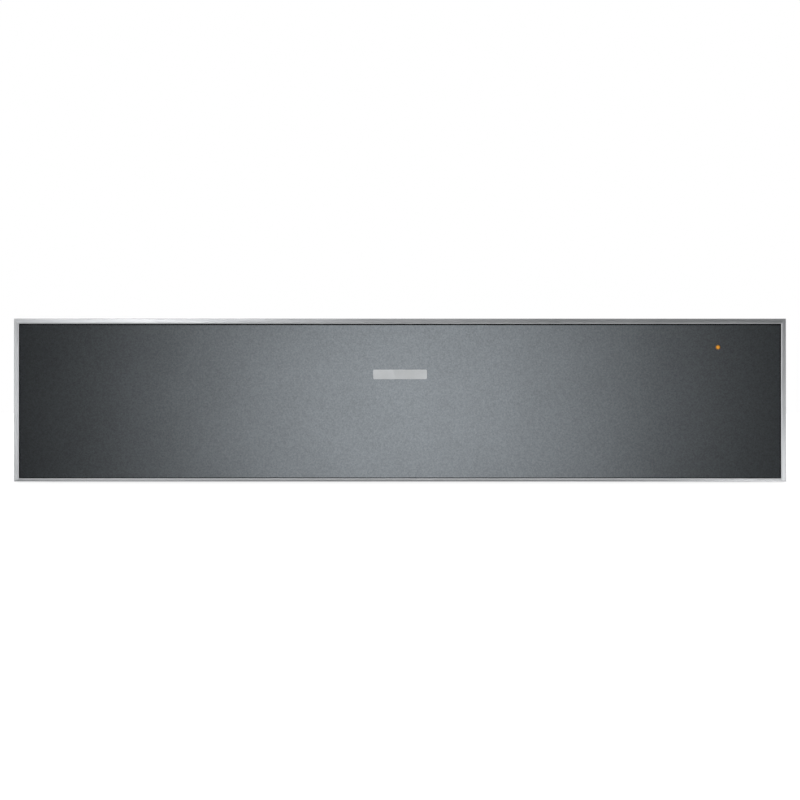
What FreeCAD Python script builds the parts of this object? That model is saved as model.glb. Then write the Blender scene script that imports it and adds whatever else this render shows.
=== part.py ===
"""Push-to-open warming drawer for a 60 cm kitchen column, built piece by piece in millimetres.

X runs across the front, the front faces -Y and Z is up. The origin is on the floor, below the middle of the
whole appliance. Each piece is written to parts/NAME.step.
"""

import FreeCAD, Part
import math
import os

V = FreeCAD.Vector

# ---- front: a glass pane in a slim metal frame
FRONT_WIDTH = 594.0
FRONT_HEIGHT = 125.4
FRONT_THICKNESS = 22.0
FRAME_SIDE_FACE = 3.7     # widths of the frame's bars seen from the front
FRAME_TOP_FACE = 4.1
FRAME_BOTTOM_FACE = 2.4
FRAME_LIP_DEPTH = 8.0     # depth of the frame's full-width part
FRAME_WEB = 1.5           # thickness of the frame behind its lip
FRAME_CHAMFER = 0.4       # outer edge
FRAME_BEVEL_WIDTH = 0.9   # shallow bevel that runs down to the gap round the glass
FRAME_BEVEL_DEPTH = 0.45
GLASS_GAP = 0.8           # shadow gap between frame and glass
GLASS_FOOT_GAP = 0.4      # the pane stands closer to the bottom bar
GLASS_RECESS = 0.5        # glass face behind the frame face
GLASS_THICKNESS = 4.0
GLASS_CHAMFER = 0.25
SEAL_RECESS = 1.2         # seal behind the glass face
TAPE_THICKNESS = 0.8
TAPE_WIDTH = 10.0
CARRIER_SHEET = 1.5
CARRIER_FIT = 0.2
INNER_PANEL_SHEET = 1.0
INNER_PANEL_LIP = 8.0
BADGE_WIDTH = 41.5
BADGE_HEIGHT = 7.5
BADGE_THICKNESS = 0.4
BADGE_CORNER = 1.2
BADGE_FROM_TOP = 43.0
LAMP_RADIUS = 1.7
LAMP_FIT = 0.3
LAMP_COLLAR = 1.8         # collar width round the light pipe
LAMP_COLLAR_LENGTH = 2.0
LAMP_FROM_SIDE = 52.3
LAMP_FROM_TOP = 22.1

# ---- casing
FRONT_OVERLAP = 22.0      # the front stands this far past each side of the casing
CASING_DEPTH = 536.0
SHEET = 1.0
FLANGE = 10.0
FLOOR_GAP = 1.0           # lower edge of the front above the floor
TOP_REVEAL = 2.4          # the front stands this much above the casing
PUSH_GAP = 4.0            # closed front to casing
PUSH_TRAVEL = 3.0         # how far the front is pushed in to release the latch
FOOT_HEIGHT = 2.5
FOOT_RADIUS = 12.0
FOOT_INSET = 35.0
REAR_INSET = 19.0         # rear panel ahead of the casing's rear edge
ELECTRONICS_DEPTH = 50.0
PLENUM_DEPTH = 36.0
EAR_WIDTH = 14.0
EAR_END = 8.0
EAR_HOLE_RADIUS = 2.25
EAR_HOLE_SPACING = 68.0
SCREW_INSET = 64.0        # end screws from the casing's ends
SLOT_WIDTH = 3.0
SLOT_PITCH = 8.0
SIDE_VENTS = 4
COVER_VENTS = 12
REAR_VENTS = 15

# ---- controls behind the front
HEADER_HEIGHT = 24.0
HEADER_SETBACK = 16.0
HEADER_SHELF = 56.0
HEADER_LIP = 8.0
CONTROL_PITCH = 33.0
KNOB_RADIUS = 10.0
KNOB_HEIGHT = 12.0
KNOB_GAP = 0.8
KNOB_EDGE = 0.8
POINTER_DEPTH = 0.8
POINTER_WIDTH = 1.6
POINTER_END = 3.3
KNOB_FLUTES = 18
KNOB_FLUTE_RADIUS = 0.9
SPINDLE_RADIUS = 3.0
SPINDLE_REACH = 8.0
BUSHING_WALL = 1.6
BUTTON_RADIUS = 6.0
BUTTON_PROUD = 4.0
BUTTON_ROUND = 0.8
BUTTON_COLLAR = 1.2
BUTTON_TRAVEL = 1.5
STEM_RADIUS = 2.0
STEM_REACH = 4.0
LED_RADIUS = 2.5
LED_PROUD = 2.0
LED_DOME = 2.0
SWITCH_DEPTH = 13.0
SWITCH_SIDE = 16.0
BOARD_THICKNESS = 1.6
BOARD_MARGIN = 24.0
BOARD_END = 12.0
CHIP_SIDE = 8.0
CHIP_DEPTH = 3.2
CHIP_PITCH = 11.0
PLUG_DEPTH = 6.5

# ---- drawer
TUB_SHEET = 0.8
TUB_WALL = 12.5           # double-skin side wall
TUB_BEND = 1.5
HEADER_CLEARANCE = 2.0    # side walls below the control header
BASE_GLASS = 4.0
BASE_GLASS_FIT = 0.5
MAT_THICKNESS = 1.5
MAT_MARGIN = 3.0
GRILLE_SLOTS = 17
GRILLE_PITCH = 7.0
GRILLE_HEIGHT = 40.0
BRACKET_SHEET = 1.5
BRACKET_LEG = 24.0
BRACKET_SCREW_EDGE = 19.0
SCREW_RADIUS = 1.5
SCREW_HEAD_RADIUS = 2.9
SCREW_HEAD_HEIGHT = 1.4
SCREW_FIT = 0.1
SCREW_GRIP = 4.0

# ---- telescopic rails
RAIL_WIDTH = 12.5
RAIL_HALF_HEIGHT = 22.5
RAIL_STEEL = 1.2
RAIL_RETURN = 1.2
RAIL_SETBACK = 2.0
RAIL_REAR_GAP = 14.0
OUTER_LIP = 9.0
MIDDLE_LIP = 8.0
INNER_LIP = 7.5
WEB_GAP = 1.2
RACE_GAP = 4.2
BALL_CLEARANCE = 0.2
CAGE_SHEET = 0.4
CAGE_LIP = 6.6
BALL_INSET = 4.0          # cage web to ball centre
CAGE_CLEARANCE = 0.4
CAGE_HOLE_FIT = 0.15
OUTER_CAGE_LENGTH = 220.0
INNER_CAGE_LENGTH = 200.0
CAGE_BALLS = 6

# ---- heater under the drawer
BASE_INSULATION = 6.0
TRAY_SHEET = 0.8
TRAY_LIP = 5.0
TRAY_SIDE_GAP = 14.0
TRAY_END_GAP = 15.0
ELEMENT_RADIUS = 3.2
ELEMENT_LIFT = 1.5
ELEMENT_LOOPS = 3
ELEMENT_MARGIN = 10.0     # element inside the tray's rim
ELEMENT_END = 14.0        # cold end behind the partition
ELEMENT_STUD_RADIUS = 1.5
ELEMENT_STUD_LENGTH = 8.0
ELEMENT_CLEARANCE = 1.5   # below the moving tub
PORT_FIT = 0.3
SADDLE_WIDTH = 10.0
SADDLE_LENGTH = 12.0
SADDLE_FIT = 0.15

# ---- fan, sensors and supply
FAN_RADIUS = 32.0
FAN_DEPTH = 18.0
FAN_GAP = 3.0
FAN_SHEET = 1.0
FAN_BLADES = 24
FAN_BLADE_CHORD = 9.0
FAN_RIM_WIDTH = 6.3
FAN_BLADE_SLANT = 30.0
FAN_HUB_RADIUS = 6.0
SHAFT_RADIUS = 2.0
RUNNING_FIT = 0.06
MOTOR_RADIUS = 24.0
MOTOR_LENGTH = 30.0
MOTOR_FLANGE = 60.0
MOTOR_FLANGE_SHEET = 2.0
MOTOR_BOSS_RADIUS = 7.0
MOTOR_BORE_DEPTH = 20.0
MOTOR_TERMINAL = 4.0
PROBE_RADIUS = 2.0
PROBE_CLEARANCE = 10.0
PROBE_FLANGE = 5.0
PROBE_X = 95.0
CUTOUT_RADIUS = 8.0
CUTOUT_CAP_RADIUS = 5.8
CUTOUT_LENGTH = 10.0
CUTOUT_X = 75.0
MODULE_X = -150.0
MODULE_WIDTH = 80.0
MODULE_HEIGHT = 56.0
MODULE_STANDOFF = 6.0
RELAY_DEPTH = 16.0
RELAY_WIDTH = 9.6
RELAY_HEIGHT = 19.0
RELAY_PITCH = 20.0
RELAYS = 3
TRANSFORMER_SIDE = 19.0
TRANSFORMER_GAP = 4.0
CAPACITOR_RADIUS = 5.3
TERMINAL_X = 170.0
TERMINAL_WIDTH = 40.0
TERMINAL_DEPTH = 18.0
TERMINAL_HEIGHT = 16.0
TERMINAL_POLES = 3
GLAND_X = 215.0
GLAND_BORE = 4.0
GLAND_THREAD = 8.0
GLAND_HEX = 11.0
GLAND_NUT = 4.0
GLAND_HEX_LENGTH = 5.0
GLAND_CAP_ROUND = 2.0
GLAND_INSIDE = 8.0
GLAND_OUTSIDE = 15.0
WIRE_RADIUS = 2.5
WIRE_BEND = 12.0
WIRE_GAP = 0.3
WIRE_CLIP = 8.0
WIRE_CLIPS = 3

# ---- push latch
LATCH_X = -170.0
LATCH_WIDTH = 34.0
LATCH_HEIGHT = 24.0
LATCH_STANDOFF = 5.0
LATCH_WALL = 3.0
LATCH_BORE_WALL = 1.5
LATCH_POCKET = 12.0       # height of the pocket
LATCH_HALF_PITCH = 8.0    # plunger and striker stand this far from the middle
PLUNGER_RADIUS = 4.0
PLUNGER_LENGTH = 16.0
PLUNGER_FIT = 0.08
PLUNGER_REST_GAP = 0.4
SPRING_WIRE = 0.5
SPRING_TURNS = 6
STRIKER_PLATE = 14.0
STRIKER_SHEET = 1.5
STRIKER_TONGUE = 3.0
STRIKER_HEIGHT = 6.0
STRIKER_REACH = 20.0
STRIKER_CLEARANCE = 1.75
STRIKER_WINDOW = 3.0
PAWL_PIN_RADIUS = 1.5
PAWL_HUB_RADIUS = 3.2
PAWL_LENGTH = 12.0
PAWL_WIDTH = 2.5
PAWL_THICKNESS = 8.0
PAWL_BACK_GAP = 0.6

# ---- places worked out from the sizes above
FRONT_FACE_Y = -(FRONT_THICKNESS + PUSH_GAP + CASING_DEPTH) / 2
FRONT_BACK_Y = FRONT_FACE_Y + FRONT_THICKNESS
CASING_FRONT_Y = FRONT_BACK_Y + PUSH_GAP
CASING_REAR_Y = CASING_FRONT_Y + CASING_DEPTH
REAR_PANEL_Y = CASING_REAR_Y - REAR_INSET - SHEET
PARTITION_Y = REAR_PANEL_Y - ELECTRONICS_DEPTH
PARTITION_BACK_Y = PARTITION_Y + SHEET
TUB_REAR_Y = PARTITION_Y - PLENUM_DEPTH
HEADER_Y = CASING_FRONT_Y + HEADER_SETBACK
BOARD_Y = HEADER_Y + SHEET + SWITCH_DEPTH

FRONT_HALF = FRONT_WIDTH / 2
WINDOW_HALF = FRONT_HALF - FRAME_SIDE_FACE
CASING_HALF = FRONT_HALF - FRONT_OVERLAP
INNER_HALF = CASING_HALF - SHEET
FLANGED_HALF = INNER_HALF - SHEET
TUB_HALF = INNER_HALF - RAIL_WIDTH
WELL_HALF = TUB_HALF - TUB_WALL
TRAY_HALF = WELL_HALF - TRAY_SIDE_GAP
TRAY_FRONT_Y = FRONT_BACK_Y + TRAY_END_GAP
TRAY_REAR_Y = TUB_REAR_Y - TRAY_END_GAP
ELEMENT_BEND = (TRAY_HALF - ELEMENT_MARGIN) / (2 * ELEMENT_LOOPS - 1)

FRONT_BOTTOM = FLOOR_GAP
FRONT_TOP = FLOOR_GAP + FRONT_HEIGHT
WINDOW_BOTTOM = FRONT_BOTTOM + FRAME_BOTTOM_FACE
WINDOW_TOP = FRONT_TOP - FRAME_TOP_FACE
PANE_HALF = WINDOW_HALF - GLASS_GAP
PANE_BOTTOM = WINDOW_BOTTOM + GLASS_FOOT_GAP
PANE_TOP = WINDOW_TOP - GLASS_GAP
CASING_TOP = FRONT_TOP - TOP_REVEAL
COVER_Z = CASING_TOP - SHEET
PAN_TOP = FOOT_HEIGHT + SHEET
INSULATION_TOP = PAN_TOP + BASE_INSULATION
TRAY_TOP = INSULATION_TOP + TRAY_SHEET
ELEMENT_Z = TRAY_TOP + ELEMENT_LIFT + ELEMENT_RADIUS
TUB_BOTTOM = ELEMENT_Z + ELEMENT_RADIUS + ELEMENT_CLEARANCE
TUB_FLOOR = TUB_BOTTOM + TUB_SHEET
BASE_GLASS_TOP = TUB_FLOOR + BASE_GLASS
HEADER_Z = COVER_Z - HEADER_HEIGHT
TUB_TOP = HEADER_Z - HEADER_CLEARANCE
MIDDLE_Z = (TUB_BOTTOM + TUB_TOP) / 2
HEADER_MIDDLE_Z = (HEADER_Z + COVER_Z) / 2

GLASS_FACE_Y = FRONT_FACE_Y + GLASS_RECESS
GLASS_BACK_Y = GLASS_FACE_Y + GLASS_THICKNESS
TAPE_BACK_Y = GLASS_BACK_Y + TAPE_THICKNESS
CARRIER_BACK_Y = TAPE_BACK_Y + CARRIER_SHEET
INNER_PANEL_Y = FRONT_BACK_Y - INNER_PANEL_SHEET
LAMP_X = FRONT_HALF - LAMP_FROM_SIDE
LAMP_Z = FRONT_TOP - LAMP_FROM_TOP
BADGE_Z = FRONT_TOP - BADGE_FROM_TOP
BUTTON_X = LAMP_X - CONTROL_PITCH
KNOB_X = BUTTON_X - CONTROL_PITCH

RAIL_FRONT_Y = CASING_FRONT_Y + RAIL_SETBACK
RAIL_REAR_Y = PARTITION_Y - RAIL_REAR_GAP
MIDDLE_WEB = RAIL_STEEL + WEB_GAP
MIDDLE_HALF_HEIGHT = RAIL_HALF_HEIGHT - RAIL_STEEL - RACE_GAP
INNER_HALF_HEIGHT = MIDDLE_HALF_HEIGHT - RAIL_STEEL - RACE_GAP
BALL_RADIUS = RACE_GAP / 2 - BALL_CLEARANCE
WIRE_Z = COVER_Z - SHEET - WIRE_GAP - WIRE_RADIUS


# ---- plain shapes
def block(x0, x1, y0, y1, z0, z1):
    """Box between two corners."""
    return Part.makeBox(x1 - x0, y1 - y0, z1 - z0, V(x0, y0, z0))


def rod_x(radius, y, z, x0, x1):
    """Cylinder along X."""
    return Part.makeCylinder(radius, x1 - x0, V(x0, y, z), V(1, 0, 0))


def rod_y(radius, x, z, y0, y1):
    """Cylinder along Y."""
    return Part.makeCylinder(radius, y1 - y0, V(x, y0, z), V(0, 1, 0))


def rod_z(radius, x, y, z0, z1):
    """Cylinder along Z."""
    return Part.makeCylinder(radius, z1 - z0, V(x, y, z0), V(0, 0, 1))


def hexagon_y(across_corners, x, z, y0, y1):
    """Hexagonal prism along Y."""
    corners = [V(x + across_corners * math.cos(math.radians(a)), y0,
                 z + across_corners * math.sin(math.radians(a))) for a in range(0, 420, 60)]
    return Part.Face(Part.makePolygon(corners)).extrude(V(0, y1 - y0, 0))


def join(shapes):
    """One solid from shapes that touch or overlap."""
    return shapes[0].fuse(shapes[1:]).removeSplitter()


def group(shapes):
    """Separate solids kept in one piece list."""
    return Part.makeCompound(shapes)


def mirrored(shape):
    """The same shape on the other side of the appliance."""
    return shape.mirror(V(0, 0, 0), V(1, 0, 0))


def even(count, pitch):
    """Places of a centred row."""
    return [(n - (count - 1) / 2) * pitch for n in range(count)]


def save(name, shape):
    """Write one piece."""
    shape.exportStep(f"parts/{name}.step")


def save_pair(name, right):
    """Write a right-hand piece and its mirrored left-hand twin."""
    save(f"{name}_right", right)
    save(f"{name}_left", mirrored(right))


def tube_path(points, bend):
    """Wire of straight runs joined by tangent arcs of one bend radius."""
    edges = []
    start = points[0]
    for corner, after in zip(points[1:], points[2:]):
        back = (start - corner).normalize()
        ahead = (after - corner).normalize()
        half = back.getAngle(ahead) / 2
        reach = bend / math.tan(half)
        middle = (back + ahead).normalize() * (bend / math.sin(half) - bend)
        arc = Part.Arc(corner + back * reach, corner + middle, corner + ahead * reach)
        edges.append(Part.LineSegment(start, corner + back * reach).toShape())
        edges.append(arc.toShape())
        start = corner + ahead * reach
    edges.append(Part.LineSegment(start, points[-1]).toShape())
    return Part.Wire(edges)


def swept(path, radius, start, direction):
    """Round bar along a wire."""
    ring = Part.Wire(Part.makeCircle(radius, start, direction))
    return path.makePipeShell([ring], True, False)


# ---- front
def frame_ring():
    """The whole frame before it is cut at its mitres."""
    outer = block(-FRONT_HALF, FRONT_HALF, FRONT_FACE_Y, FRONT_BACK_Y, FRONT_BOTTOM, FRONT_TOP)
    rim = [e for e in outer.Edges if e.BoundBox.YMax < FRONT_FACE_Y + FRAME_CHAMFER]
    outer = outer.makeChamfer(FRAME_CHAMFER, rim)
    window = block(-WINDOW_HALF, WINDOW_HALF, FRONT_FACE_Y, FRONT_BACK_Y, WINDOW_BOTTOM, WINDOW_TOP)
    behind = block(-FRONT_HALF + FRAME_WEB, FRONT_HALF - FRAME_WEB, FRONT_FACE_Y + FRAME_LIP_DEPTH,
                   FRONT_BACK_Y, FRONT_BOTTOM + FRAME_WEB, FRONT_TOP - FRAME_WEB)
    low, high, half = WINDOW_BOTTOM, WINDOW_TOP, WINDOW_HALF
    wide = FRAME_BEVEL_WIDTH
    bevel = Part.makeWedge(-half - wide, FRONT_FACE_Y, low - wide, low, -half,
                           half + wide, FRONT_FACE_Y + FRAME_BEVEL_DEPTH, high + wide, high, half)
    return outer.cut(window).cut(bevel).cut(behind)


def mitre_prism(corners):
    """Prism through the whole front over a flat outline given as (x, z) corners."""
    points = [V(x, FRONT_FACE_Y, z) for x, z in corners + corners[:1]]
    return Part.Face(Part.makePolygon(points)).extrude(V(0, FRONT_THICKNESS, 0))


def make_frame():
    """Four bars, each cut from its outer corners to the corners of the window."""
    ring = frame_ring()
    low, high, side = FRONT_BOTTOM, FRONT_TOP, FRONT_HALF
    sill, head, jamb = WINDOW_BOTTOM, WINDOW_TOP, WINDOW_HALF
    bars = {
        "frame_top": [(-side, high), (side, high), (jamb, head), (-jamb, head)],
        "frame_bottom": [(-side, low), (side, low), (jamb, sill), (-jamb, sill)],
        "frame_left": [(-side, low), (-side, high), (-jamb, head), (-jamb, sill)],
        "frame_right": [(side, low), (side, high), (jamb, head), (jamb, sill)],
    }
    for name, corners in bars.items():
        save(name, ring.common(mitre_prism(corners)))


def make_glass():
    """Pane with polished edges and a hole for the lamp."""
    pane = block(-PANE_HALF, PANE_HALF, GLASS_FACE_Y, GLASS_BACK_Y, PANE_BOTTOM, PANE_TOP)
    rim = [e for e in pane.Edges if e.BoundBox.YMax < GLASS_FACE_Y + GLASS_CHAMFER]
    pane = pane.makeChamfer(GLASS_CHAMFER, rim)
    hole = rod_y(LAMP_RADIUS + LAMP_FIT, LAMP_X, LAMP_Z, GLASS_FACE_Y, GLASS_BACK_Y)
    save("front_glass", pane.cut(hole))


def make_seal():
    """Black seal in the gap round the glass, with the mounting tape behind it."""
    around = block(-WINDOW_HALF, WINDOW_HALF, GLASS_FACE_Y + SEAL_RECESS, TAPE_BACK_Y,
                   WINDOW_BOTTOM, WINDOW_TOP)
    pane = block(-PANE_HALF, PANE_HALF, GLASS_FACE_Y, GLASS_BACK_Y, PANE_BOTTOM, PANE_TOP)
    middle = block(-PANE_HALF + TAPE_WIDTH, PANE_HALF - TAPE_WIDTH, GLASS_FACE_Y, TAPE_BACK_Y,
                   PANE_BOTTOM + TAPE_WIDTH, PANE_TOP - TAPE_WIDTH)
    save("glass_seal", around.cut(pane).cut(middle))


def make_front_core():
    """Carrier plate, insulation board and inner panel behind the glass."""
    half = WINDOW_HALF - CARRIER_FIT
    low, high = WINDOW_BOTTOM + CARRIER_FIT, WINDOW_TOP - CARRIER_FIT
    bore = rod_y(LAMP_RADIUS + CARRIER_FIT, LAMP_X, LAMP_Z, TAPE_BACK_Y, FRONT_BACK_Y)
    save("carrier_plate", block(-half, half, TAPE_BACK_Y, CARRIER_BACK_Y, low, high).cut(bore))
    rim = FRAME_WEB + CARRIER_FIT
    panel = block(-FRONT_HALF + rim, FRONT_HALF - rim, FRONT_BACK_Y - INNER_PANEL_LIP, FRONT_BACK_Y,
                  FRONT_BOTTOM + rim, FRONT_TOP - rim)
    rim += INNER_PANEL_SHEET
    hollow = block(-FRONT_HALF + rim, FRONT_HALF - rim, FRONT_BACK_Y - INNER_PANEL_LIP, INNER_PANEL_Y,
                   FRONT_BOTTOM + rim, FRONT_TOP - rim)
    save("inner_front_panel", panel.cut(hollow).cut(bore))
    board_low = max(low, FRONT_BOTTOM + rim + CARRIER_FIT)   # clear of the inner panel's lip
    collar = rod_y(LAMP_RADIUS + LAMP_COLLAR + CARRIER_FIT, LAMP_X, LAMP_Z, CARRIER_BACK_Y, INNER_PANEL_Y)
    save("front_insulation", block(-half, half, CARRIER_BACK_Y, INNER_PANEL_Y, board_low, high).cut(collar))


def make_lamp():
    """Light pipe that carries the indicator's light from the header to the glass face."""
    pipe = rod_y(LAMP_RADIUS, LAMP_X, LAMP_Z, GLASS_FACE_Y, FRONT_BACK_Y)
    collar = rod_y(LAMP_RADIUS + LAMP_COLLAR, LAMP_X, LAMP_Z, CARRIER_BACK_Y,
                   CARRIER_BACK_Y + LAMP_COLLAR_LENGTH)
    save("lamp_light_pipe", join([pipe, collar]))


def make_badge():
    """Blank plate on the glass."""
    plate = block(-BADGE_WIDTH / 2, BADGE_WIDTH / 2, GLASS_FACE_Y - BADGE_THICKNESS, GLASS_FACE_Y,
                  BADGE_Z - BADGE_HEIGHT / 2, BADGE_Z + BADGE_HEIGHT / 2)
    corners = [e for e in plate.Edges if e.BoundBox.YLength > BADGE_THICKNESS / 2]
    save("badge_plate", plate.makeFillet(BADGE_CORNER, corners))


# ---- drawer
def screw_x(x, y, z, grip):
    """Pan-head screw along X: the head's seat is at x, the shank runs towards +X."""
    head = rod_x(SCREW_HEAD_RADIUS, y, z, x - SCREW_HEAD_HEIGHT, x)
    front = [e for e in head.Edges if e.BoundBox.XMax < x - SCREW_HEAD_HEIGHT / 2]
    head = head.makeFillet(SCREW_HEAD_HEIGHT / 2, front)
    return join([head, rod_x(SCREW_RADIUS, y, z, x, x + grip)])


def bracket_screw_places():
    """(y, z) of the screws that hold a side wall to its front bracket."""
    y = FRONT_BACK_Y + BRACKET_LEG / 2
    return [(y, TUB_FLOOR + BRACKET_SCREW_EDGE), (y, TUB_TOP - BRACKET_SCREW_EDGE)]


def make_tub_side():
    """Folded double-skin side wall, open below, on the sheet base."""
    wall = block(WELL_HALF, TUB_HALF, FRONT_BACK_Y, TUB_REAR_Y - TUB_SHEET, TUB_FLOOR, TUB_TOP)
    folds = [e for e in wall.Edges if e.BoundBox.ZMin > TUB_TOP - TUB_SHEET
             and e.BoundBox.YLength > BRACKET_LEG]
    wall = wall.makeFillet(TUB_BEND, folds)
    hollow = block(WELL_HALF + TUB_SHEET, TUB_HALF - TUB_SHEET, FRONT_BACK_Y, TUB_REAR_Y - TUB_SHEET,
                   TUB_FLOOR, TUB_TOP - TUB_SHEET)
    wall = wall.cut(hollow)
    for y, z in bracket_screw_places():
        wall = wall.cut(rod_x(SCREW_RADIUS + SCREW_FIT, y, z, WELL_HALF, WELL_HALF + TUB_SHEET))
    save_pair("tub_side", wall)


def make_front_brackets():
    """Angle brackets inside the side walls, which carry the front."""
    x = WELL_HALF + TUB_SHEET
    foot = block(x, TUB_HALF - TUB_SHEET, FRONT_BACK_Y, FRONT_BACK_Y + BRACKET_SHEET,
                 TUB_FLOOR, TUB_TOP - TUB_SHEET)
    leg = block(x, x + BRACKET_SHEET, FRONT_BACK_Y, FRONT_BACK_Y + BRACKET_LEG,
                TUB_FLOOR, TUB_TOP - TUB_SHEET)
    bracket = join([foot, leg])
    screws = []
    for y, z in bracket_screw_places():
        bracket = bracket.cut(rod_x(SCREW_RADIUS + SCREW_FIT, y, z, x, x + BRACKET_SHEET))
        screws.append(screw_x(WELL_HALF, y, z, SCREW_GRIP))
    save("front_brackets", group([bracket, mirrored(bracket)]))
    save("drawer_screws", group(screws + [mirrored(s) for s in screws]))


def make_tub_base():
    """Sheet base under the side walls, with the glass plate and the mat on it."""
    save("tub_base", block(-TUB_HALF, TUB_HALF, FRONT_BACK_Y, TUB_REAR_Y, TUB_BOTTOM, TUB_FLOOR))
    half = WELL_HALF - BASE_GLASS_FIT
    front, rear = FRONT_BACK_Y + BASE_GLASS_FIT, TUB_REAR_Y - TUB_SHEET - BASE_GLASS_FIT
    save("glass_base_plate", block(-half, half, front, rear, TUB_FLOOR, BASE_GLASS_TOP))
    half -= MAT_MARGIN
    mat = block(-half, half, front + MAT_MARGIN, rear - MAT_MARGIN, BASE_GLASS_TOP,
                BASE_GLASS_TOP + MAT_THICKNESS)
    save("anti_slip_mat", mat)


def make_tub_rear():
    """Rear wall with upright slots for the warm air."""
    wall = block(-TUB_HALF, TUB_HALF, TUB_REAR_Y - TUB_SHEET, TUB_REAR_Y, TUB_FLOOR, TUB_TOP)
    for x in even(GRILLE_SLOTS, GRILLE_PITCH):
        wall = wall.cut(upright_slot_y(x, MIDDLE_Z, GRILLE_HEIGHT, TUB_REAR_Y - TUB_SHEET, TUB_REAR_Y))
    save("tub_rear_wall", wall)


def upright_slot_y(x, z, height, y0, y1):
    """Cutter for an upright round-ended slot through a wall that faces Y."""
    reach = height / 2 - SLOT_WIDTH / 2
    middle = block(x - SLOT_WIDTH / 2, x + SLOT_WIDTH / 2, y0, y1, z - reach, z + reach)
    ends = [rod_y(SLOT_WIDTH / 2, x, z + side * reach, y0, y1) for side in (-1, 1)]
    return join([middle] + ends)


# ---- telescopic rails, described for the right-hand side by their depth from the casing wall
def rail_block(depth0, depth1, y0, y1, z0, z1):
    """Box between two depths from the casing wall."""
    return block(INNER_HALF - depth1, INNER_HALF - depth0, y0, y1, MIDDLE_Z + z0, MIDDLE_Z + z1)


def make_outer_rail():
    """Fixed channel with turned-in lip ends."""
    h, t = RAIL_HALF_HEIGHT, RAIL_STEEL
    channel = rail_block(0, OUTER_LIP, RAIL_FRONT_Y, RAIL_REAR_Y, -h, h)
    race = rail_block(t, OUTER_LIP - t, RAIL_FRONT_Y, RAIL_REAR_Y, -h + t, h - t)
    mouth = h - t - RAIL_RETURN
    throat = rail_block(t, OUTER_LIP, RAIL_FRONT_Y, RAIL_REAR_Y, -mouth, mouth)
    save_pair("rail_outer", channel.cut(race).cut(throat))


def make_middle_rail():
    """Channel that travels at half the drawer's speed."""
    h, t = MIDDLE_HALF_HEIGHT, RAIL_STEEL
    end = MIDDLE_WEB + MIDDLE_LIP
    channel = rail_block(MIDDLE_WEB, end, RAIL_FRONT_Y, RAIL_REAR_Y, -h, h)
    hollow = rail_block(MIDDLE_WEB + t, end, RAIL_FRONT_Y, RAIL_REAR_Y, -h + t, h - t)
    save_pair("rail_middle", channel.cut(hollow))


def make_inner_rail():
    """Channel fixed to the drawer's side wall."""
    h, t = INNER_HALF_HEIGHT, RAIL_STEEL
    start = RAIL_WIDTH - INNER_LIP
    channel = rail_block(start, RAIL_WIDTH, RAIL_FRONT_Y, TUB_REAR_Y, -h, h)
    hollow = rail_block(start, RAIL_WIDTH - t, RAIL_FRONT_Y, TUB_REAR_Y, -h + t, h - t)
    save_pair("rail_inner", channel.cut(hollow))


def ball_cage(web_depth, ball_z, middle_y, length):
    """Sheet cage with a row of balls above and one below."""
    half = length / 2
    top = ball_z + CAGE_SHEET / 2
    cage = rail_block(web_depth, web_depth + CAGE_LIP, middle_y - half, middle_y + half, -top, top)
    inside = top - CAGE_SHEET
    cage = cage.cut(rail_block(web_depth + CAGE_SHEET, web_depth + CAGE_LIP, middle_y - half,
                               middle_y + half, -inside, inside))
    balls = []
    x = INNER_HALF - web_depth - BALL_INSET
    for dy in even(CAGE_BALLS, length / CAGE_BALLS):
        y = middle_y + dy
        cage = cage.cut(rod_z(BALL_RADIUS + CAGE_HOLE_FIT, x, y, MIDDLE_Z - 2 * top, MIDDLE_Z + 2 * top))
        for side in (-1, 1):
            balls.append(Part.makeSphere(BALL_RADIUS, V(x, y, MIDDLE_Z + side * ball_z)))
    return group([cage] + balls)


def make_ball_cages():
    """Outer cage between outer and middle channel, inner cage between middle and inner channel."""
    outer_z = (RAIL_HALF_HEIGHT - RAIL_STEEL + MIDDLE_HALF_HEIGHT) / 2
    inner_z = (MIDDLE_HALF_HEIGHT - RAIL_STEEL + INNER_HALF_HEIGHT) / 2
    outer_y = (RAIL_FRONT_Y + RAIL_REAR_Y) / 2
    inner_y = (RAIL_FRONT_Y + TUB_REAR_Y) / 2
    save_pair("ball_cage_outer", ball_cage(RAIL_STEEL + CAGE_CLEARANCE, outer_z, outer_y, OUTER_CAGE_LENGTH))
    inner_web = MIDDLE_WEB + RAIL_STEEL + CAGE_CLEARANCE
    save_pair("ball_cage_inner", ball_cage(inner_web, inner_z, inner_y, INNER_CAGE_LENGTH))


# ---- casing
def side_screw_places():
    """(y, z) of the screws through each side wall into the flanges of pan, cover and rear panel."""
    span = CASING_DEPTH / 2 - SCREW_INSET
    rows = [COVER_Z - FLANGE / 2, PAN_TOP + FLANGE / 2]
    places = [(along * span, z) for z in rows for along in (-1, 0, 1)]
    places += [(REAR_PANEL_Y - FLANGE / 2, MIDDLE_Z + side * EAR_HOLE_SPACING / 2) for side in (-1, 1)]
    return places


def drill_sides(shape):
    """Screw holes through both sides of a flanged piece."""
    for y, z in side_screw_places():
        shape = shape.cut(rod_x(SCREW_RADIUS + SCREW_FIT, y, z, -CASING_HALF, CASING_HALF))
    return shape


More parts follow.
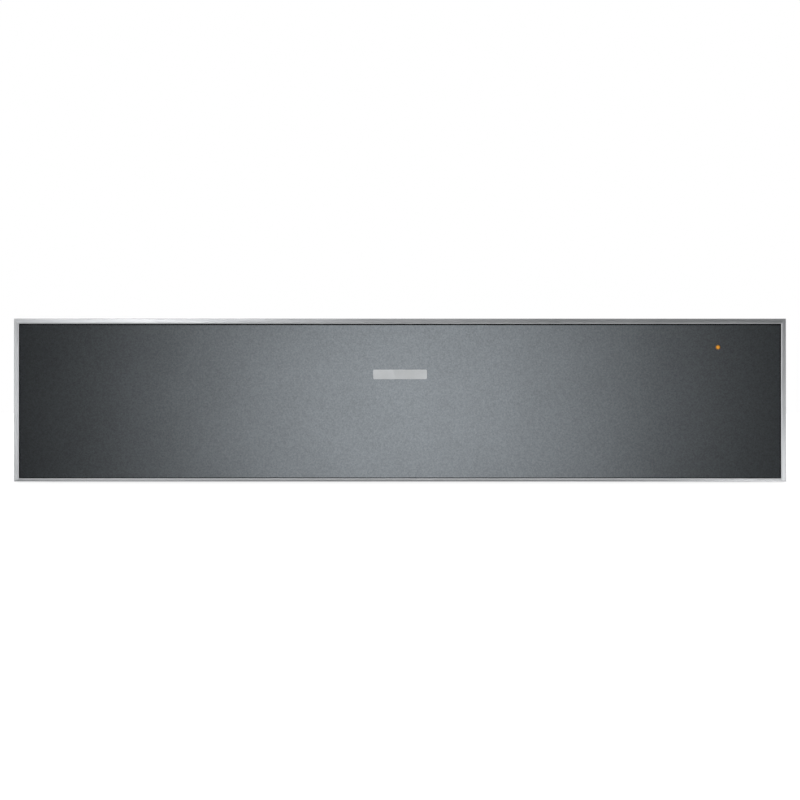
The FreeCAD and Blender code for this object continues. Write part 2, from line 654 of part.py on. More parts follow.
def make_side_wall():
    """Side wall with the outward flange that is screwed to the column."""
    wall = block(INNER_HALF, CASING_HALF, CASING_FRONT_Y, CASING_REAR_Y, FOOT_HEIGHT, CASING_TOP)
    ear = block(INNER_HALF, CASING_HALF + EAR_WIDTH, CASING_FRONT_Y, CASING_FRONT_Y + SHEET,
                FOOT_HEIGHT + EAR_END, CASING_TOP - EAR_END)
    wall = join([wall, ear])
    for side in (-1, 1):
        z = MIDDLE_Z + side * EAR_HOLE_SPACING / 2
        wall = wall.cut(rod_y(EAR_HOLE_RADIUS, CASING_HALF + EAR_WIDTH / 2, z, CASING_FRONT_Y,
                              CASING_FRONT_Y + SHEET))
    vent_middle = (PARTITION_BACK_Y + REAR_PANEL_Y - FLANGE) / 2
    for dy in even(SIDE_VENTS, SLOT_PITCH):
        y = vent_middle + dy
        wall = wall.cut(block(INNER_HALF, CASING_HALF, y - SLOT_WIDTH / 2, y + SLOT_WIDTH / 2,
                              MIDDLE_Z - GRILLE_HEIGHT / 2, MIDDLE_Z + GRILLE_HEIGHT / 2))
    for y, z in side_screw_places():
        wall = wall.cut(rod_x(SCREW_RADIUS + SCREW_FIT, y, z, INNER_HALF, CASING_HALF))
    save_pair("side_wall", wall)


def flanged_sheet(z0, z1, flange0, flange1):
    """Flat sheet between the side walls with a flange along each side."""
    sheet = block(-INNER_HALF, INNER_HALF, CASING_FRONT_Y, CASING_REAR_Y, z0, z1)
    flange = block(FLANGED_HALF, INNER_HALF, CASING_FRONT_Y, REAR_PANEL_Y - FLANGE - SCREW_FIT,
                   flange0, flange1)
    return drill_sides(join([sheet, flange, mirrored(flange)]))


def make_pan_and_cover():
    """Base pan and top cover, the cover with vents over the electronics."""
    save("base_pan", flanged_sheet(FOOT_HEIGHT, PAN_TOP, PAN_TOP, PAN_TOP + FLANGE))
    cover = flanged_sheet(COVER_Z, CASING_TOP, COVER_Z - FLANGE, COVER_Z)
    for middle in (-CASING_HALF / 2, CASING_HALF / 2):
        for x in even(COVER_VENTS, SLOT_PITCH):
            slot = block(middle + x - SLOT_WIDTH / 2, middle + x + SLOT_WIDTH / 2, PARTITION_BACK_Y + FLANGE,
                         REAR_PANEL_Y - FLANGE, COVER_Z, CASING_TOP)
            cover = cover.cut(slot)
    save("top_cover", cover)


def make_rear_panel():
    """Rear panel with side flanges, vents and the hole for the cord gland."""
    panel = block(-INNER_HALF, INNER_HALF, REAR_PANEL_Y, REAR_PANEL_Y + SHEET, PAN_TOP, COVER_Z)
    flange = block(FLANGED_HALF, INNER_HALF, REAR_PANEL_Y - FLANGE, REAR_PANEL_Y, PAN_TOP, COVER_Z)
    panel = drill_sides(join([panel, flange, mirrored(flange)]))
    for x in even(REAR_VENTS, SLOT_PITCH):
        panel = panel.cut(upright_slot_y(x, MIDDLE_Z, GRILLE_HEIGHT, REAR_PANEL_Y, REAR_PANEL_Y + SHEET))
    gland = rod_y(GLAND_THREAD + SCREW_FIT, GLAND_X, MIDDLE_Z, REAR_PANEL_Y, REAR_PANEL_Y + SHEET)
    save("rear_panel", panel.cut(gland))


def element_end_places():
    """X of the two cold ends of the heating element."""
    half = TRAY_HALF - ELEMENT_MARGIN
    return [-half, half]


def make_partition():
    """Wall between the warm air space and the electronics, with a port for each thing that crosses it."""
    y0, y1 = PARTITION_Y, PARTITION_BACK_Y
    wall = block(-FLANGED_HALF, FLANGED_HALF, y0, y1, PAN_TOP, COVER_Z)
    ports = [rod_y(ELEMENT_RADIUS + PORT_FIT, x, ELEMENT_Z, y0, y1) for x in element_end_places()]
    ports.append(rod_y(MOTOR_BOSS_RADIUS + PORT_FIT, 0, MIDDLE_Z, y0, y1))
    ports.append(rod_y(PROBE_RADIUS + PORT_FIT, PROBE_X, MIDDLE_Z, y0, y1))
    ports.append(rod_y(CUTOUT_CAP_RADIUS + PORT_FIT, CUTOUT_X, MIDDLE_Z, y0, y1))
    ports.append(rod_y(WIRE_RADIUS + PORT_FIT, KNOB_X, WIRE_Z, y0, y1))
    for port in ports:
        wall = wall.cut(port)
    save("rear_partition", wall)


def make_feet():
    """Four rubber pads under the base pan."""
    x, y = CASING_HALF - FOOT_INSET, CASING_DEPTH / 2 - FOOT_INSET
    middle = (CASING_FRONT_Y + CASING_REAR_Y) / 2
    pads = [rod_z(FOOT_RADIUS, sx * x, middle + sy * y, 0, FOOT_HEIGHT) for sx in (-1, 1) for sy in (-1, 1)]
    save("feet", group(pads))


def make_casing_screws():
    """Pan-head screws through the side walls."""
    left = [screw_x(-CASING_HALF, y, z, SCREW_GRIP) for y, z in side_screw_places()]
    save("casing_screws", group(left + [mirrored(s) for s in left]))


# ---- controls
def make_header():
    """Folded sheet that carries the controls above the drawer."""
    face = block(-FLANGED_HALF, FLANGED_HALF, HEADER_Y, HEADER_Y + SHEET, HEADER_Z, COVER_Z)
    shelf = block(-FLANGED_HALF, FLANGED_HALF, HEADER_Y, HEADER_Y + HEADER_SHELF, HEADER_Z, HEADER_Z + SHEET)
    lip = block(-FLANGED_HALF, FLANGED_HALF, HEADER_Y + HEADER_SHELF - SHEET, HEADER_Y + HEADER_SHELF,
                HEADER_Z, HEADER_Z + HEADER_LIP)
    header = join([face, shelf, lip])
    bushing = SPINDLE_RADIUS + BUSHING_WALL
    for x, z, radius in ((KNOB_X, HEADER_MIDDLE_Z, bushing), (BUTTON_X, HEADER_MIDDLE_Z, BUTTON_RADIUS),
                         (LAMP_X, LAMP_Z, LED_RADIUS)):
        header = header.cut(rod_y(radius + PORT_FIT, x, z, HEADER_Y, HEADER_Y + SHEET))
    save("control_header", header)


def make_knob():
    """Fluted selector knob with its spindle."""
    back = HEADER_Y - KNOB_GAP
    front = back - KNOB_HEIGHT
    knob = rod_y(KNOB_RADIUS, KNOB_X, HEADER_MIDDLE_Z, front, back)
    knob = knob.makeChamfer(KNOB_EDGE, [e for e in knob.Edges if e.BoundBox.YMax < front + KNOB_EDGE])
    for n in range(KNOB_FLUTES):
        angle = 2 * math.pi * (n + 0.5) / KNOB_FLUTES
        knob = knob.cut(rod_y(KNOB_FLUTE_RADIUS, KNOB_X + KNOB_RADIUS * math.cos(angle),
                              HEADER_MIDDLE_Z + KNOB_RADIUS * math.sin(angle), front, back))
    pointer = block(KNOB_X - KNOB_RADIUS, KNOB_X - POINTER_END, front, front + POINTER_DEPTH,
                    HEADER_MIDDLE_Z - POINTER_WIDTH / 2, HEADER_MIDDLE_Z + POINTER_WIDTH / 2)
    spindle = rod_y(SPINDLE_RADIUS, KNOB_X, HEADER_MIDDLE_Z, back, HEADER_Y + SHEET + SPINDLE_REACH)
    save("selector_knob", join([knob.cut(pointer), spindle]))


def make_rotary_switch():
    """Switch body with the bushing that passes through the header."""
    start = HEADER_Y + SHEET
    half = SWITCH_SIDE / 2
    body = block(KNOB_X - half, KNOB_X + half, start, BOARD_Y, HEADER_MIDDLE_Z - half, HEADER_MIDDLE_Z + half)
    bushing = rod_y(SPINDLE_RADIUS + BUSHING_WALL, KNOB_X, HEADER_MIDDLE_Z, HEADER_Y, start)
    bore = rod_y(SPINDLE_RADIUS + RUNNING_FIT, KNOB_X, HEADER_MIDDLE_Z, HEADER_Y,
                 start + SPINDLE_REACH + KNOB_GAP)
    save("rotary_switch", join([body, bushing]).cut(bore))


def button_back():
    """Where the button's collar ends and its stem starts."""
    return HEADER_Y + SHEET + PORT_FIT + BUTTON_COLLAR


def push_switch_front():
    """Front face of the push switch, clear of the pressed collar."""
    return button_back() + BUTTON_TRAVEL + PORT_FIT


def make_button():
    """Power button: cap through the header, collar behind it, stem into the switch."""
    cap = rod_y(BUTTON_RADIUS, BUTTON_X, HEADER_MIDDLE_Z, HEADER_Y - BUTTON_PROUD, button_back())
    rim = [e for e in cap.Edges if e.BoundBox.YMax < HEADER_Y - BUTTON_PROUD + BUTTON_ROUND]
    cap = cap.makeFillet(BUTTON_ROUND, rim)
    collar = rod_y(BUTTON_RADIUS + BUTTON_COLLAR, BUTTON_X, HEADER_MIDDLE_Z, button_back() - BUTTON_COLLAR,
                   button_back())
    stem = rod_y(STEM_RADIUS, BUTTON_X, HEADER_MIDDLE_Z, button_back(), push_switch_front() + STEM_REACH)
    save("power_button", join([cap, collar, stem]))


def make_push_switch():
    """Switch body with a bore for the button's stem."""
    half = SWITCH_SIDE / 2
    body = block(BUTTON_X - half, BUTTON_X + half, push_switch_front(), BOARD_Y, HEADER_MIDDLE_Z - half,
                 HEADER_MIDDLE_Z + half)
    bore = rod_y(STEM_RADIUS + RUNNING_FIT, BUTTON_X, HEADER_MIDDLE_Z, push_switch_front(),
                 push_switch_front() + STEM_REACH + BUTTON_TRAVEL + PORT_FIT)
    save("push_switch", body.cut(bore))


def make_led():
    """Indicator lamp in line with the light pipe in the front."""
    tip = HEADER_Y - LED_PROUD
    stem = rod_y(LED_RADIUS, LAMP_X, LAMP_Z, tip, BOARD_Y)
    stem = stem.makeFillet(LED_DOME, [e for e in stem.Edges if e.BoundBox.YMax < tip + PORT_FIT])
    save("indicator_led", stem)


def make_control_board():
    """Circuit board in the header with its parts on the rear."""
    x0, x1 = KNOB_X - BOARD_MARGIN, LAMP_X + BOARD_END
    z0 = HEADER_Z + SHEET
    back = BOARD_Y + BOARD_THICKNESS
    pieces = [block(x0, x1, BOARD_Y, back, z0, COVER_Z - SHEET)]
    half = CHIP_SIDE / 2
    for x in (BUTTON_X - CHIP_PITCH, BUTTON_X, BUTTON_X + CHIP_PITCH, LAMP_X):
        pieces.append(block(x - half, x + half, back, back + CHIP_DEPTH, HEADER_MIDDLE_Z - half,
                            HEADER_MIDDLE_Z + half))
    plug_half = WIRE_RADIUS + SHEET
    pieces.append(block(KNOB_X - plug_half, KNOB_X + plug_half, back, back + PLUG_DEPTH,
                        WIRE_Z - plug_half, WIRE_Z + WIRE_RADIUS))
    save("control_board", join(pieces))


# ---- heater
def element_span():
    """Front and rear y where the heater's straight passes meet their bends."""
    reach = ELEMENT_MARGIN + ELEMENT_RADIUS + ELEMENT_BEND
    return TRAY_FRONT_Y + reach, TRAY_REAR_Y - reach


def element_passes():
    """X of each straight pass."""
    return even(2 * ELEMENT_LOOPS, 2 * ELEMENT_BEND)


def make_heating_element():
    """Tubular element: straight passes joined by half-circle bends, both ends through the partition."""
    front, rear = element_span()
    end = PARTITION_BACK_Y + ELEMENT_END
    xs = element_passes()
    turns = [front if n % 2 == 0 else rear for n in range(len(xs) - 1)]
    edges = []
    y = end
    for n, turn in enumerate(turns):
        middle_x = (xs[n] + xs[n + 1]) / 2
        bulge = turn - ELEMENT_BEND if turn == front else turn + ELEMENT_BEND
        edges.append(Part.LineSegment(V(xs[n], y, ELEMENT_Z), V(xs[n], turn, ELEMENT_Z)).toShape())
        arc = Part.Arc(V(xs[n], turn, ELEMENT_Z), V(middle_x, bulge, ELEMENT_Z),
                       V(xs[n + 1], turn, ELEMENT_Z))
        edges.append(arc.toShape())
        y = turn
    edges.append(Part.LineSegment(V(xs[-1], y, ELEMENT_Z), V(xs[-1], end, ELEMENT_Z)).toShape())
    tube = swept(Part.Wire(edges), ELEMENT_RADIUS, V(xs[0], end, ELEMENT_Z), V(0, 1, 0))
    studs = [rod_y(ELEMENT_STUD_RADIUS, x, ELEMENT_Z, end, end + ELEMENT_STUD_LENGTH)
             for x in element_end_places()]
    save("heating_element", join([tube] + studs))


def make_heater_tray():
    """Reflector tray on its insulation, with saddles that carry the element."""
    front, rear = TRAY_FRONT_Y, TRAY_REAR_Y
    save("base_insulation", block(-TRAY_HALF, TRAY_HALF, front, rear, PAN_TOP, INSULATION_TOP))
    tray = block(-TRAY_HALF, TRAY_HALF, front, rear, INSULATION_TOP, INSULATION_TOP + TRAY_LIP)
    t = TRAY_SHEET
    tray = tray.cut(block(-TRAY_HALF + t, TRAY_HALF - t, front + t, rear - t, TRAY_TOP,
                          INSULATION_TOP + TRAY_LIP))
    for x in element_end_places():
        tray = tray.cut(rod_y(ELEMENT_RADIUS + PORT_FIT, x, ELEMENT_Z, rear - 2 * t, rear))
    saddles = []
    for x in element_passes():
        for y in (element_span()[0] + SADDLE_LENGTH, element_span()[1] - SADDLE_LENGTH):
            saddles.append(block(x - SADDLE_WIDTH / 2, x + SADDLE_WIDTH / 2, y - SADDLE_LENGTH / 2,
                                 y + SADDLE_LENGTH / 2, TRAY_TOP, ELEMENT_Z))
    tray = join([tray] + saddles)
    for x in element_passes():
        tray = tray.cut(rod_y(ELEMENT_RADIUS + SADDLE_FIT, x, ELEMENT_Z, *element_span()))
    save("heater_tray", tray)


# ---- fan and sensors
def make_impeller():
    """Radial fan wheel with its shaft."""
    back = PARTITION_Y - FAN_GAP
    front = back - FAN_SHEET - FAN_DEPTH
    disc = rod_y(FAN_RADIUS, 0, MIDDLE_Z, back - FAN_SHEET, back)
    hub = rod_y(FAN_HUB_RADIUS, 0, MIDDLE_Z, front, back)
    rim = rod_y(FAN_RADIUS, 0, MIDDLE_Z, front, front + FAN_SHEET)
    rim = rim.cut(rod_y(FAN_RADIUS - FAN_RIM_WIDTH, 0, MIDDLE_Z, front, front + FAN_SHEET))
    blade = block(-FAN_SHEET / 2, FAN_SHEET / 2, front, back, -FAN_BLADE_CHORD, 0)
    blade.rotate(V(0, 0, 0), V(0, 1, 0), FAN_BLADE_SLANT)
    blade.translate(V(0, 0, MIDDLE_Z + FAN_RADIUS - FAN_SHEET / 2))
    blades = []
    for n in range(FAN_BLADES):
        copy = blade.copy()
        copy.rotate(V(0, 0, MIDDLE_Z), V(0, 1, 0), 360 * n / FAN_BLADES)
        blades.append(copy)
    shaft = rod_y(SHAFT_RADIUS, 0, MIDDLE_Z, front, PARTITION_Y + MOTOR_BORE_DEPTH - FAN_SHEET)
    wheel = join([disc, hub, rim] + blades)
    save("fan_impeller", join([wheel.common(rod_y(FAN_RADIUS, 0, MIDDLE_Z, front, back)), shaft]))


def make_fan_motor():
    """Motor behind the partition, its bearing boss through the port."""
    start = PARTITION_BACK_Y
    half = MOTOR_FLANGE / 2
    flange = block(-half, half, start, start + MOTOR_FLANGE_SHEET, MIDDLE_Z - half, MIDDLE_Z + half)
    body = rod_y(MOTOR_RADIUS, 0, MIDDLE_Z, start + MOTOR_FLANGE_SHEET,
                 start + MOTOR_FLANGE_SHEET + MOTOR_LENGTH)
    body = body.makeChamfer(MOTOR_FLANGE_SHEET, body.Edges[:1])
    boss = rod_y(MOTOR_BOSS_RADIUS, 0, MIDDLE_Z, PARTITION_Y, start)
    middle = start + MOTOR_FLANGE_SHEET + MOTOR_LENGTH / 2
    terminal = block(-MOTOR_RADIUS - MOTOR_TERMINAL, -MOTOR_RADIUS / 2, middle - MOTOR_TERMINAL,
                     middle + MOTOR_TERMINAL, MIDDLE_Z - MOTOR_TERMINAL, MIDDLE_Z + MOTOR_TERMINAL)
    bore = rod_y(SHAFT_RADIUS + RUNNING_FIT, 0, MIDDLE_Z, PARTITION_Y, PARTITION_Y + MOTOR_BORE_DEPTH)
    save("fan_motor", join([flange, body, boss, terminal]).cut(bore))


def make_sensors():
    """Temperature probe and thermal cut-out, both through the partition."""
    probe = rod_y(PROBE_RADIUS, PROBE_X, MIDDLE_Z, TUB_REAR_Y + PROBE_CLEARANCE, PARTITION_BACK_Y)
    flange = rod_y(PROBE_FLANGE, PROBE_X, MIDDLE_Z, PARTITION_BACK_Y, PARTITION_BACK_Y + PROBE_FLANGE)
    save("temperature_sensor", join([probe, flange]))
    cap = rod_y(CUTOUT_CAP_RADIUS, CUTOUT_X, MIDDLE_Z, PARTITION_Y, PARTITION_BACK_Y)
    body = rod_y(CUTOUT_RADIUS, CUTOUT_X, MIDDLE_Z, PARTITION_BACK_Y, PARTITION_BACK_Y + CUTOUT_LENGTH)
    save("thermal_cutout", join([cap, body]))


# ---- supply
def module_front():
    """Front face of the power module's circuit board."""
    return PARTITION_BACK_Y + MODULE_STANDOFF


def make_power_module():
    """Circuit board on four posts with relays, transformer and capacitors."""
    half, half_height = MODULE_WIDTH / 2, MODULE_HEIGHT / 2
    front = module_front()
    back = front + BOARD_THICKNESS
    pieces = [block(MODULE_X - half, MODULE_X + half, front, back, MIDDLE_Z - half_height,
                    MIDDLE_Z + half_height)]
    for sx in (-1, 1):
        for sz in (-1, 1):
            pieces.append(rod_y(MODULE_STANDOFF / 2, MODULE_X + sx * (half - MODULE_STANDOFF),
                                MIDDLE_Z + sz * (half_height - MODULE_STANDOFF), PARTITION_BACK_Y, front))
    for x in even(RELAYS, RELAY_PITCH):
        pieces.append(block(MODULE_X + x - RELAY_WIDTH / 2, MODULE_X + x + RELAY_WIDTH / 2, back,
                            back + RELAY_DEPTH, MIDDLE_Z, MIDDLE_Z + RELAY_HEIGHT))
    pieces.append(block(MODULE_X - TRANSFORMER_SIDE, MODULE_X, back, back + TRANSFORMER_SIDE,
                        MIDDLE_Z - TRANSFORMER_SIDE, MIDDLE_Z - TRANSFORMER_GAP))
    pieces.append(rod_y(CAPACITOR_RADIUS, MODULE_X + TRANSFORMER_SIDE, MIDDLE_Z - TRANSFORMER_SIDE / 2, back,
                        back + TRANSFORMER_SIDE))
    save("power_module", join(pieces))


def make_terminal_block():
    """Mains terminal block on the base pan."""
    half = TERMINAL_WIDTH / 2
    rear = REAR_PANEL_Y - WIRE_RADIUS * 2
    body = block(TERMINAL_X - half, TERMINAL_X + half, rear - TERMINAL_DEPTH, rear, PAN_TOP,
                 PAN_TOP + TERMINAL_HEIGHT)
    for x in even(TERMINAL_POLES, TERMINAL_WIDTH / TERMINAL_POLES):
        body = body.cut(rod_z(SCREW_HEAD_RADIUS, TERMINAL_X + x, rear - TERMINAL_DEPTH / 2,
                              PAN_TOP + TERMINAL_HEIGHT / 2, PAN_TOP + TERMINAL_HEIGHT))
    save("terminal_block", body)


def make_cord_gland():
    """Screwed gland in the rear panel."""
    seat = REAR_PANEL_Y + SHEET
    thread = rod_y(GLAND_THREAD, GLAND_X, MIDDLE_Z, REAR_PANEL_Y - GLAND_INSIDE, seat)
    nut = hexagon_y(GLAND_HEX, GLAND_X, MIDDLE_Z, REAR_PANEL_Y - GLAND_NUT, REAR_PANEL_Y)
    body = hexagon_y(GLAND_HEX, GLAND_X, MIDDLE_Z, seat, seat + GLAND_HEX_LENGTH)
    cap = rod_y(GLAND_THREAD + SHEET, GLAND_X, MIDDLE_Z, seat + GLAND_HEX_LENGTH, seat + GLAND_OUTSIDE)
    rim = [e for e in cap.Edges if e.BoundBox.YMin > seat + GLAND_OUTSIDE - GLAND_CAP_ROUND]
    cap = cap.makeFillet(GLAND_CAP_ROUND, rim)
    bore = rod_y(GLAND_BORE, GLAND_X, MIDDLE_Z, REAR_PANEL_Y - GLAND_INSIDE, seat + GLAND_OUTSIDE)
    save("cord_gland", join([thread, nut, body, cap]).cut(bore))


def lead(points):
    """One insulated lead through the given points."""
    direction = points[1] - points[0]
    return swept(tube_path(points, WIRE_BEND), WIRE_RADIUS, points[0], direction)


def make_wiring():
    """Leads between module, control board, motor and terminals, with clips under the top cover."""
    back = module_front() + BOARD_THICKNESS
    y = back + RELAY_DEPTH / 2
    plug = BOARD_Y + BOARD_THICKNESS + PLUG_DEPTH
    to_controls = lead([V(MODULE_X, y, MIDDLE_Z + RELAY_HEIGHT), V(MODULE_X, y, WIRE_Z),
                        V(KNOB_X, y, WIRE_Z), V(KNOB_X, plug, WIRE_Z)])
    motor_y = PARTITION_BACK_Y + MOTOR_FLANGE_SHEET + MOTOR_LENGTH / 2
    to_motor = rod_x(WIRE_RADIUS, motor_y, MIDDLE_Z, MODULE_X + MODULE_WIDTH / 2,
                     -MOTOR_RADIUS - MOTOR_TERMINAL)
    clips = []
    for step in even(WIRE_CLIPS, (PARTITION_Y - plug) / (WIRE_CLIPS + 1)):
        clip_y = (PARTITION_Y + plug) / 2 + step
        clip = block(KNOB_X - WIRE_CLIP / 2, KNOB_X + WIRE_CLIP / 2, clip_y - WIRE_CLIP / 2,
                     clip_y + WIRE_CLIP / 2, WIRE_Z - WIRE_RADIUS - SHEET, COVER_Z)
        hole = rod_y(WIRE_RADIUS + WIRE_GAP, KNOB_X, WIRE_Z, clip_y - WIRE_CLIP, clip_y + WIRE_CLIP)
        clips.append(clip.cut(hole))
    save("wiring_harness", group([to_controls, to_motor] + clips))


# ---- push latch
def latch_front():
    """Front face of the latch housing."""
    return TUB_REAR_Y + LATCH_STANDOFF


def plunger_front():
    """Tip of the plunger, just behind a drawer that is pushed right in."""
    return TUB_REAR_Y + PUSH_TRAVEL + PLUNGER_REST_GAP


def make_latch_housing():
    """Housing with a bore for the plunger and a pocket for striker and pawl."""
    half, half_height = LATCH_WIDTH / 2, LATCH_HEIGHT / 2
    front = latch_front()
    body = block(LATCH_X - half, LATCH_X + half, front, PARTITION_Y, MIDDLE_Z - half_height,
                 MIDDLE_Z + half_height)
    bore_x = LATCH_X + LATCH_HALF_PITCH
    bore = rod_y(PLUNGER_RADIUS + PLUNGER_FIT, bore_x, MIDDLE_Z, front, PARTITION_Y - LATCH_WALL)
    left = LATCH_X - LATCH_HALF_PITCH - STRIKER_TONGUE / 2 - STRIKER_CLEARANCE
    right = bore_x - PLUNGER_RADIUS - PLUNGER_FIT - LATCH_BORE_WALL
    pocket_half = LATCH_POCKET / 2
    pocket = block(left, right, front, PARTITION_Y - LATCH_WALL, MIDDLE_Z - pocket_half,
                   MIDDLE_Z + pocket_half)
    pin = rod_z(PAWL_PIN_RADIUS, *pawl_place(), MIDDLE_Z - pocket_half, MIDDLE_Z + pocket_half)
    save("latch_housing", join([body.cut(bore).cut(pocket), pin]))


def pawl_place():
    """X and y of the pawl's pin."""
    right = LATCH_X + LATCH_HALF_PITCH - PLUNGER_RADIUS - PLUNGER_FIT - LATCH_BORE_WALL
    return right - PAWL_HUB_RADIUS - PORT_FIT, PARTITION_Y - LATCH_WALL - PAWL_HUB_RADIUS - PAWL_BACK_GAP


def make_pawl():
    """Lever on the housing's pin, beside the striker's tongue."""
    x, y = pawl_place()
    z0, z1 = MIDDLE_Z - PAWL_THICKNESS / 2, MIDDLE_Z + PAWL_THICKNESS / 2
    hub = rod_z(PAWL_HUB_RADIUS, x, y, z0, z1)
    arm = block(x - PAWL_WIDTH / 2, x + PAWL_WIDTH / 2, y - PAWL_LENGTH, y, z0, z1)
    bore = rod_z(PAWL_PIN_RADIUS + RUNNING_FIT, x, y, z0, z1)
    save("latch_pawl", join([hub, arm]).cut(bore))


def make_plunger_and_spring():
    """Plunger that presses on the drawer, with the coil spring behind it."""
    x = LATCH_X + LATCH_HALF_PITCH
    front = plunger_front()
    back = front + PLUNGER_LENGTH
    save("latch_plunger", rod_y(PLUNGER_RADIUS, x, MIDDLE_Z, front, back))
    length = PARTITION_Y - LATCH_WALL - back - 2 * SPRING_WIRE
    coil = PLUNGER_RADIUS - 2 * SPRING_WIRE
    helix = Part.makeHelix(length / SPRING_TURNS, length, coil)
    ring = Part.Wire(Part.makeCircle(SPRING_WIRE, V(coil, 0, 0), V(0, 1, 0)))
    spring = Part.Wire(helix.Edges).makePipeShell([ring], True, True)
    spring.rotate(V(0, 0, 0), V(1, 0, 0), -90)
    spring.translate(V(x, back + SPRING_WIRE, MIDDLE_Z))
    save("latch_spring", spring)


def make_striker():
    """Tongue on the drawer's rear wall that enters the latch."""
    x = LATCH_X - LATCH_HALF_PITCH
    half = STRIKER_PLATE / 2
    plate = block(x - half, x + half, TUB_REAR_Y, TUB_REAR_Y + STRIKER_SHEET, MIDDLE_Z - half,
                  MIDDLE_Z + half)
    tongue = block(x - STRIKER_TONGUE / 2, x + STRIKER_TONGUE / 2, TUB_REAR_Y,
                   TUB_REAR_Y + STRIKER_SHEET + STRIKER_REACH, MIDDLE_Z - STRIKER_HEIGHT / 2,
                   MIDDLE_Z + STRIKER_HEIGHT / 2)
    catch = TUB_REAR_Y + STRIKER_SHEET + STRIKER_REACH - STRIKER_HEIGHT
    window = block(x - STRIKER_TONGUE / 2, x + STRIKER_TONGUE / 2, catch - STRIKER_WINDOW / 2,
                   catch + STRIKER_WINDOW / 2, MIDDLE_Z - STRIKER_WINDOW / 2, MIDDLE_Z + STRIKER_WINDOW / 2)
    save("latch_striker", join([plate, tongue]).cut(window))


def main():
    os.makedirs("parts", exist_ok=True)
    for make in (make_frame, make_glass, make_seal, make_front_core, make_lamp, make_badge,
                 make_tub_side, make_front_brackets, make_tub_base, make_tub_rear,
                 make_outer_rail, make_middle_rail, make_inner_rail, make_ball_cages,
                 make_side_wall, make_pan_and_cover, make_rear_panel, make_partition, make_feet,
                 make_casing_screws, make_header, make_knob, make_rotary_switch, make_button,
                 make_push_switch, make_led, make_control_board, make_heating_element,
                 make_heater_tray, make_impeller, make_fan_motor, make_sensors, make_power_module,
                 make_terminal_block, make_cord_gland, make_wiring, make_latch_housing, make_pawl,
                 make_plunger_and_spring, make_striker):
        make()


main()
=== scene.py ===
"""Dresses the push-to-open warming drawer: a glass front in a steel frame, the heated drawer behind it,
its telescopic rails, the controls, the push latch and the zinc-coated casing.

Each class below is one finish, one repeated shape or one sub-assembly. Lengths are millimetres in every
sub-assembly's fields and where a name says so; meshes and the studio are in metres.
"""

import logging
import math
from collections.abc import Sequence
from dataclasses import dataclass, replace
from enum import Enum

import bmesh
import bpy
from mathutils import Euler, Matrix, Vector

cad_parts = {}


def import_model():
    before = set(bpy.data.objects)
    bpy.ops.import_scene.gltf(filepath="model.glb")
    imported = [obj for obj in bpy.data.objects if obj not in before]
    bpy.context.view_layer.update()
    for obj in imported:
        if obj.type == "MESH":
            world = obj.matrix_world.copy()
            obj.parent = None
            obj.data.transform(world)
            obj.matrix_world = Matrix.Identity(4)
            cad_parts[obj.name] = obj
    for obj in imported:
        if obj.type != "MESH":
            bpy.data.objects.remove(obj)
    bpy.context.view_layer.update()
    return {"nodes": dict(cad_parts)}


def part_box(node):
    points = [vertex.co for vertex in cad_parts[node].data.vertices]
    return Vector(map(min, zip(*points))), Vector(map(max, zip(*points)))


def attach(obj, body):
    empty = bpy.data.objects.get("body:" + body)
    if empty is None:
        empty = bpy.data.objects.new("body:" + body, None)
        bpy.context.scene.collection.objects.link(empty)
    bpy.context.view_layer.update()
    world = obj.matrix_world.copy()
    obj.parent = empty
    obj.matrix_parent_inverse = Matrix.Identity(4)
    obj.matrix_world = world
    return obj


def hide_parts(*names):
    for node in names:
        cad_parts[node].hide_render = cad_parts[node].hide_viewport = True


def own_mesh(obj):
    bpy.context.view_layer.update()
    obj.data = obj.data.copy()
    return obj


LOG = logging.getLogger("warming_drawer")
MM = 0.001
QUARTER_TURN = math.radians(90)
# Depth of the six lobes in a screw's recess, as a share of the recess's radius.
LOBE = 0.16

Colour = tuple[float, float, float, float]
# A point in metres, and the direction that a shape stands along there.
Place = tuple[Vector, Vector]
# What a node's input can be linked to.
Feed = bpy.types.Node | bpy.types.NodeSocket


# ---------------------------------------------------------------- nodes and colours
def linear(hex_colour: str) -> Colour:
    """Turns an sRGB hex colour into linear values.

    Args:
        hex_colour: Six hex digits after a hash sign.

    Returns:
        Red, green, blue and an alpha of one.
    """
    shares = [int(hex_colour[n : n + 2], 16) / 255 for n in (1, 3, 5)]
    red, green, blue = [s / 12.92 if s <= 0.04045 else ((s + 0.055) / 1.055) ** 2.4 for s in shares]
    return red, green, blue, 1.0


def feed(tree: bpy.types.NodeTree, node: bpy.types.Node, inputs: dict) -> None:
    """Sets or links the inputs of a node.

    Args:
        tree: The node tree that the node is in.
        node: The node that is fed.
        inputs: Socket name or number to a value, to an output socket, or to a node whose first output
            feeds it.
    """
    for socket, value in inputs.items():
        source = value.outputs[0] if isinstance(value, bpy.types.Node) else value
        if isinstance(source, bpy.types.NodeSocket):
            tree.links.new(source, node.inputs[socket])
        else:
            node.inputs[socket].default_value = source


def add_node(
    tree: bpy.types.NodeTree, kind: str, inputs: dict | None = None, **settings: object
) -> bpy.types.Node:
    """Adds one node with its settings, values and links.

    Args:
        tree: The node tree that gets the node.
        kind: The node's type name.
        inputs: What feeds the node's inputs, by socket name or number.
        **settings: The node's own options.

    Returns:
        The new node.
    """
    node = tree.nodes.new(kind)
    for option, value in settings.items():
        setattr(node, option, value)
    feed(tree, node, inputs or {})
    return node


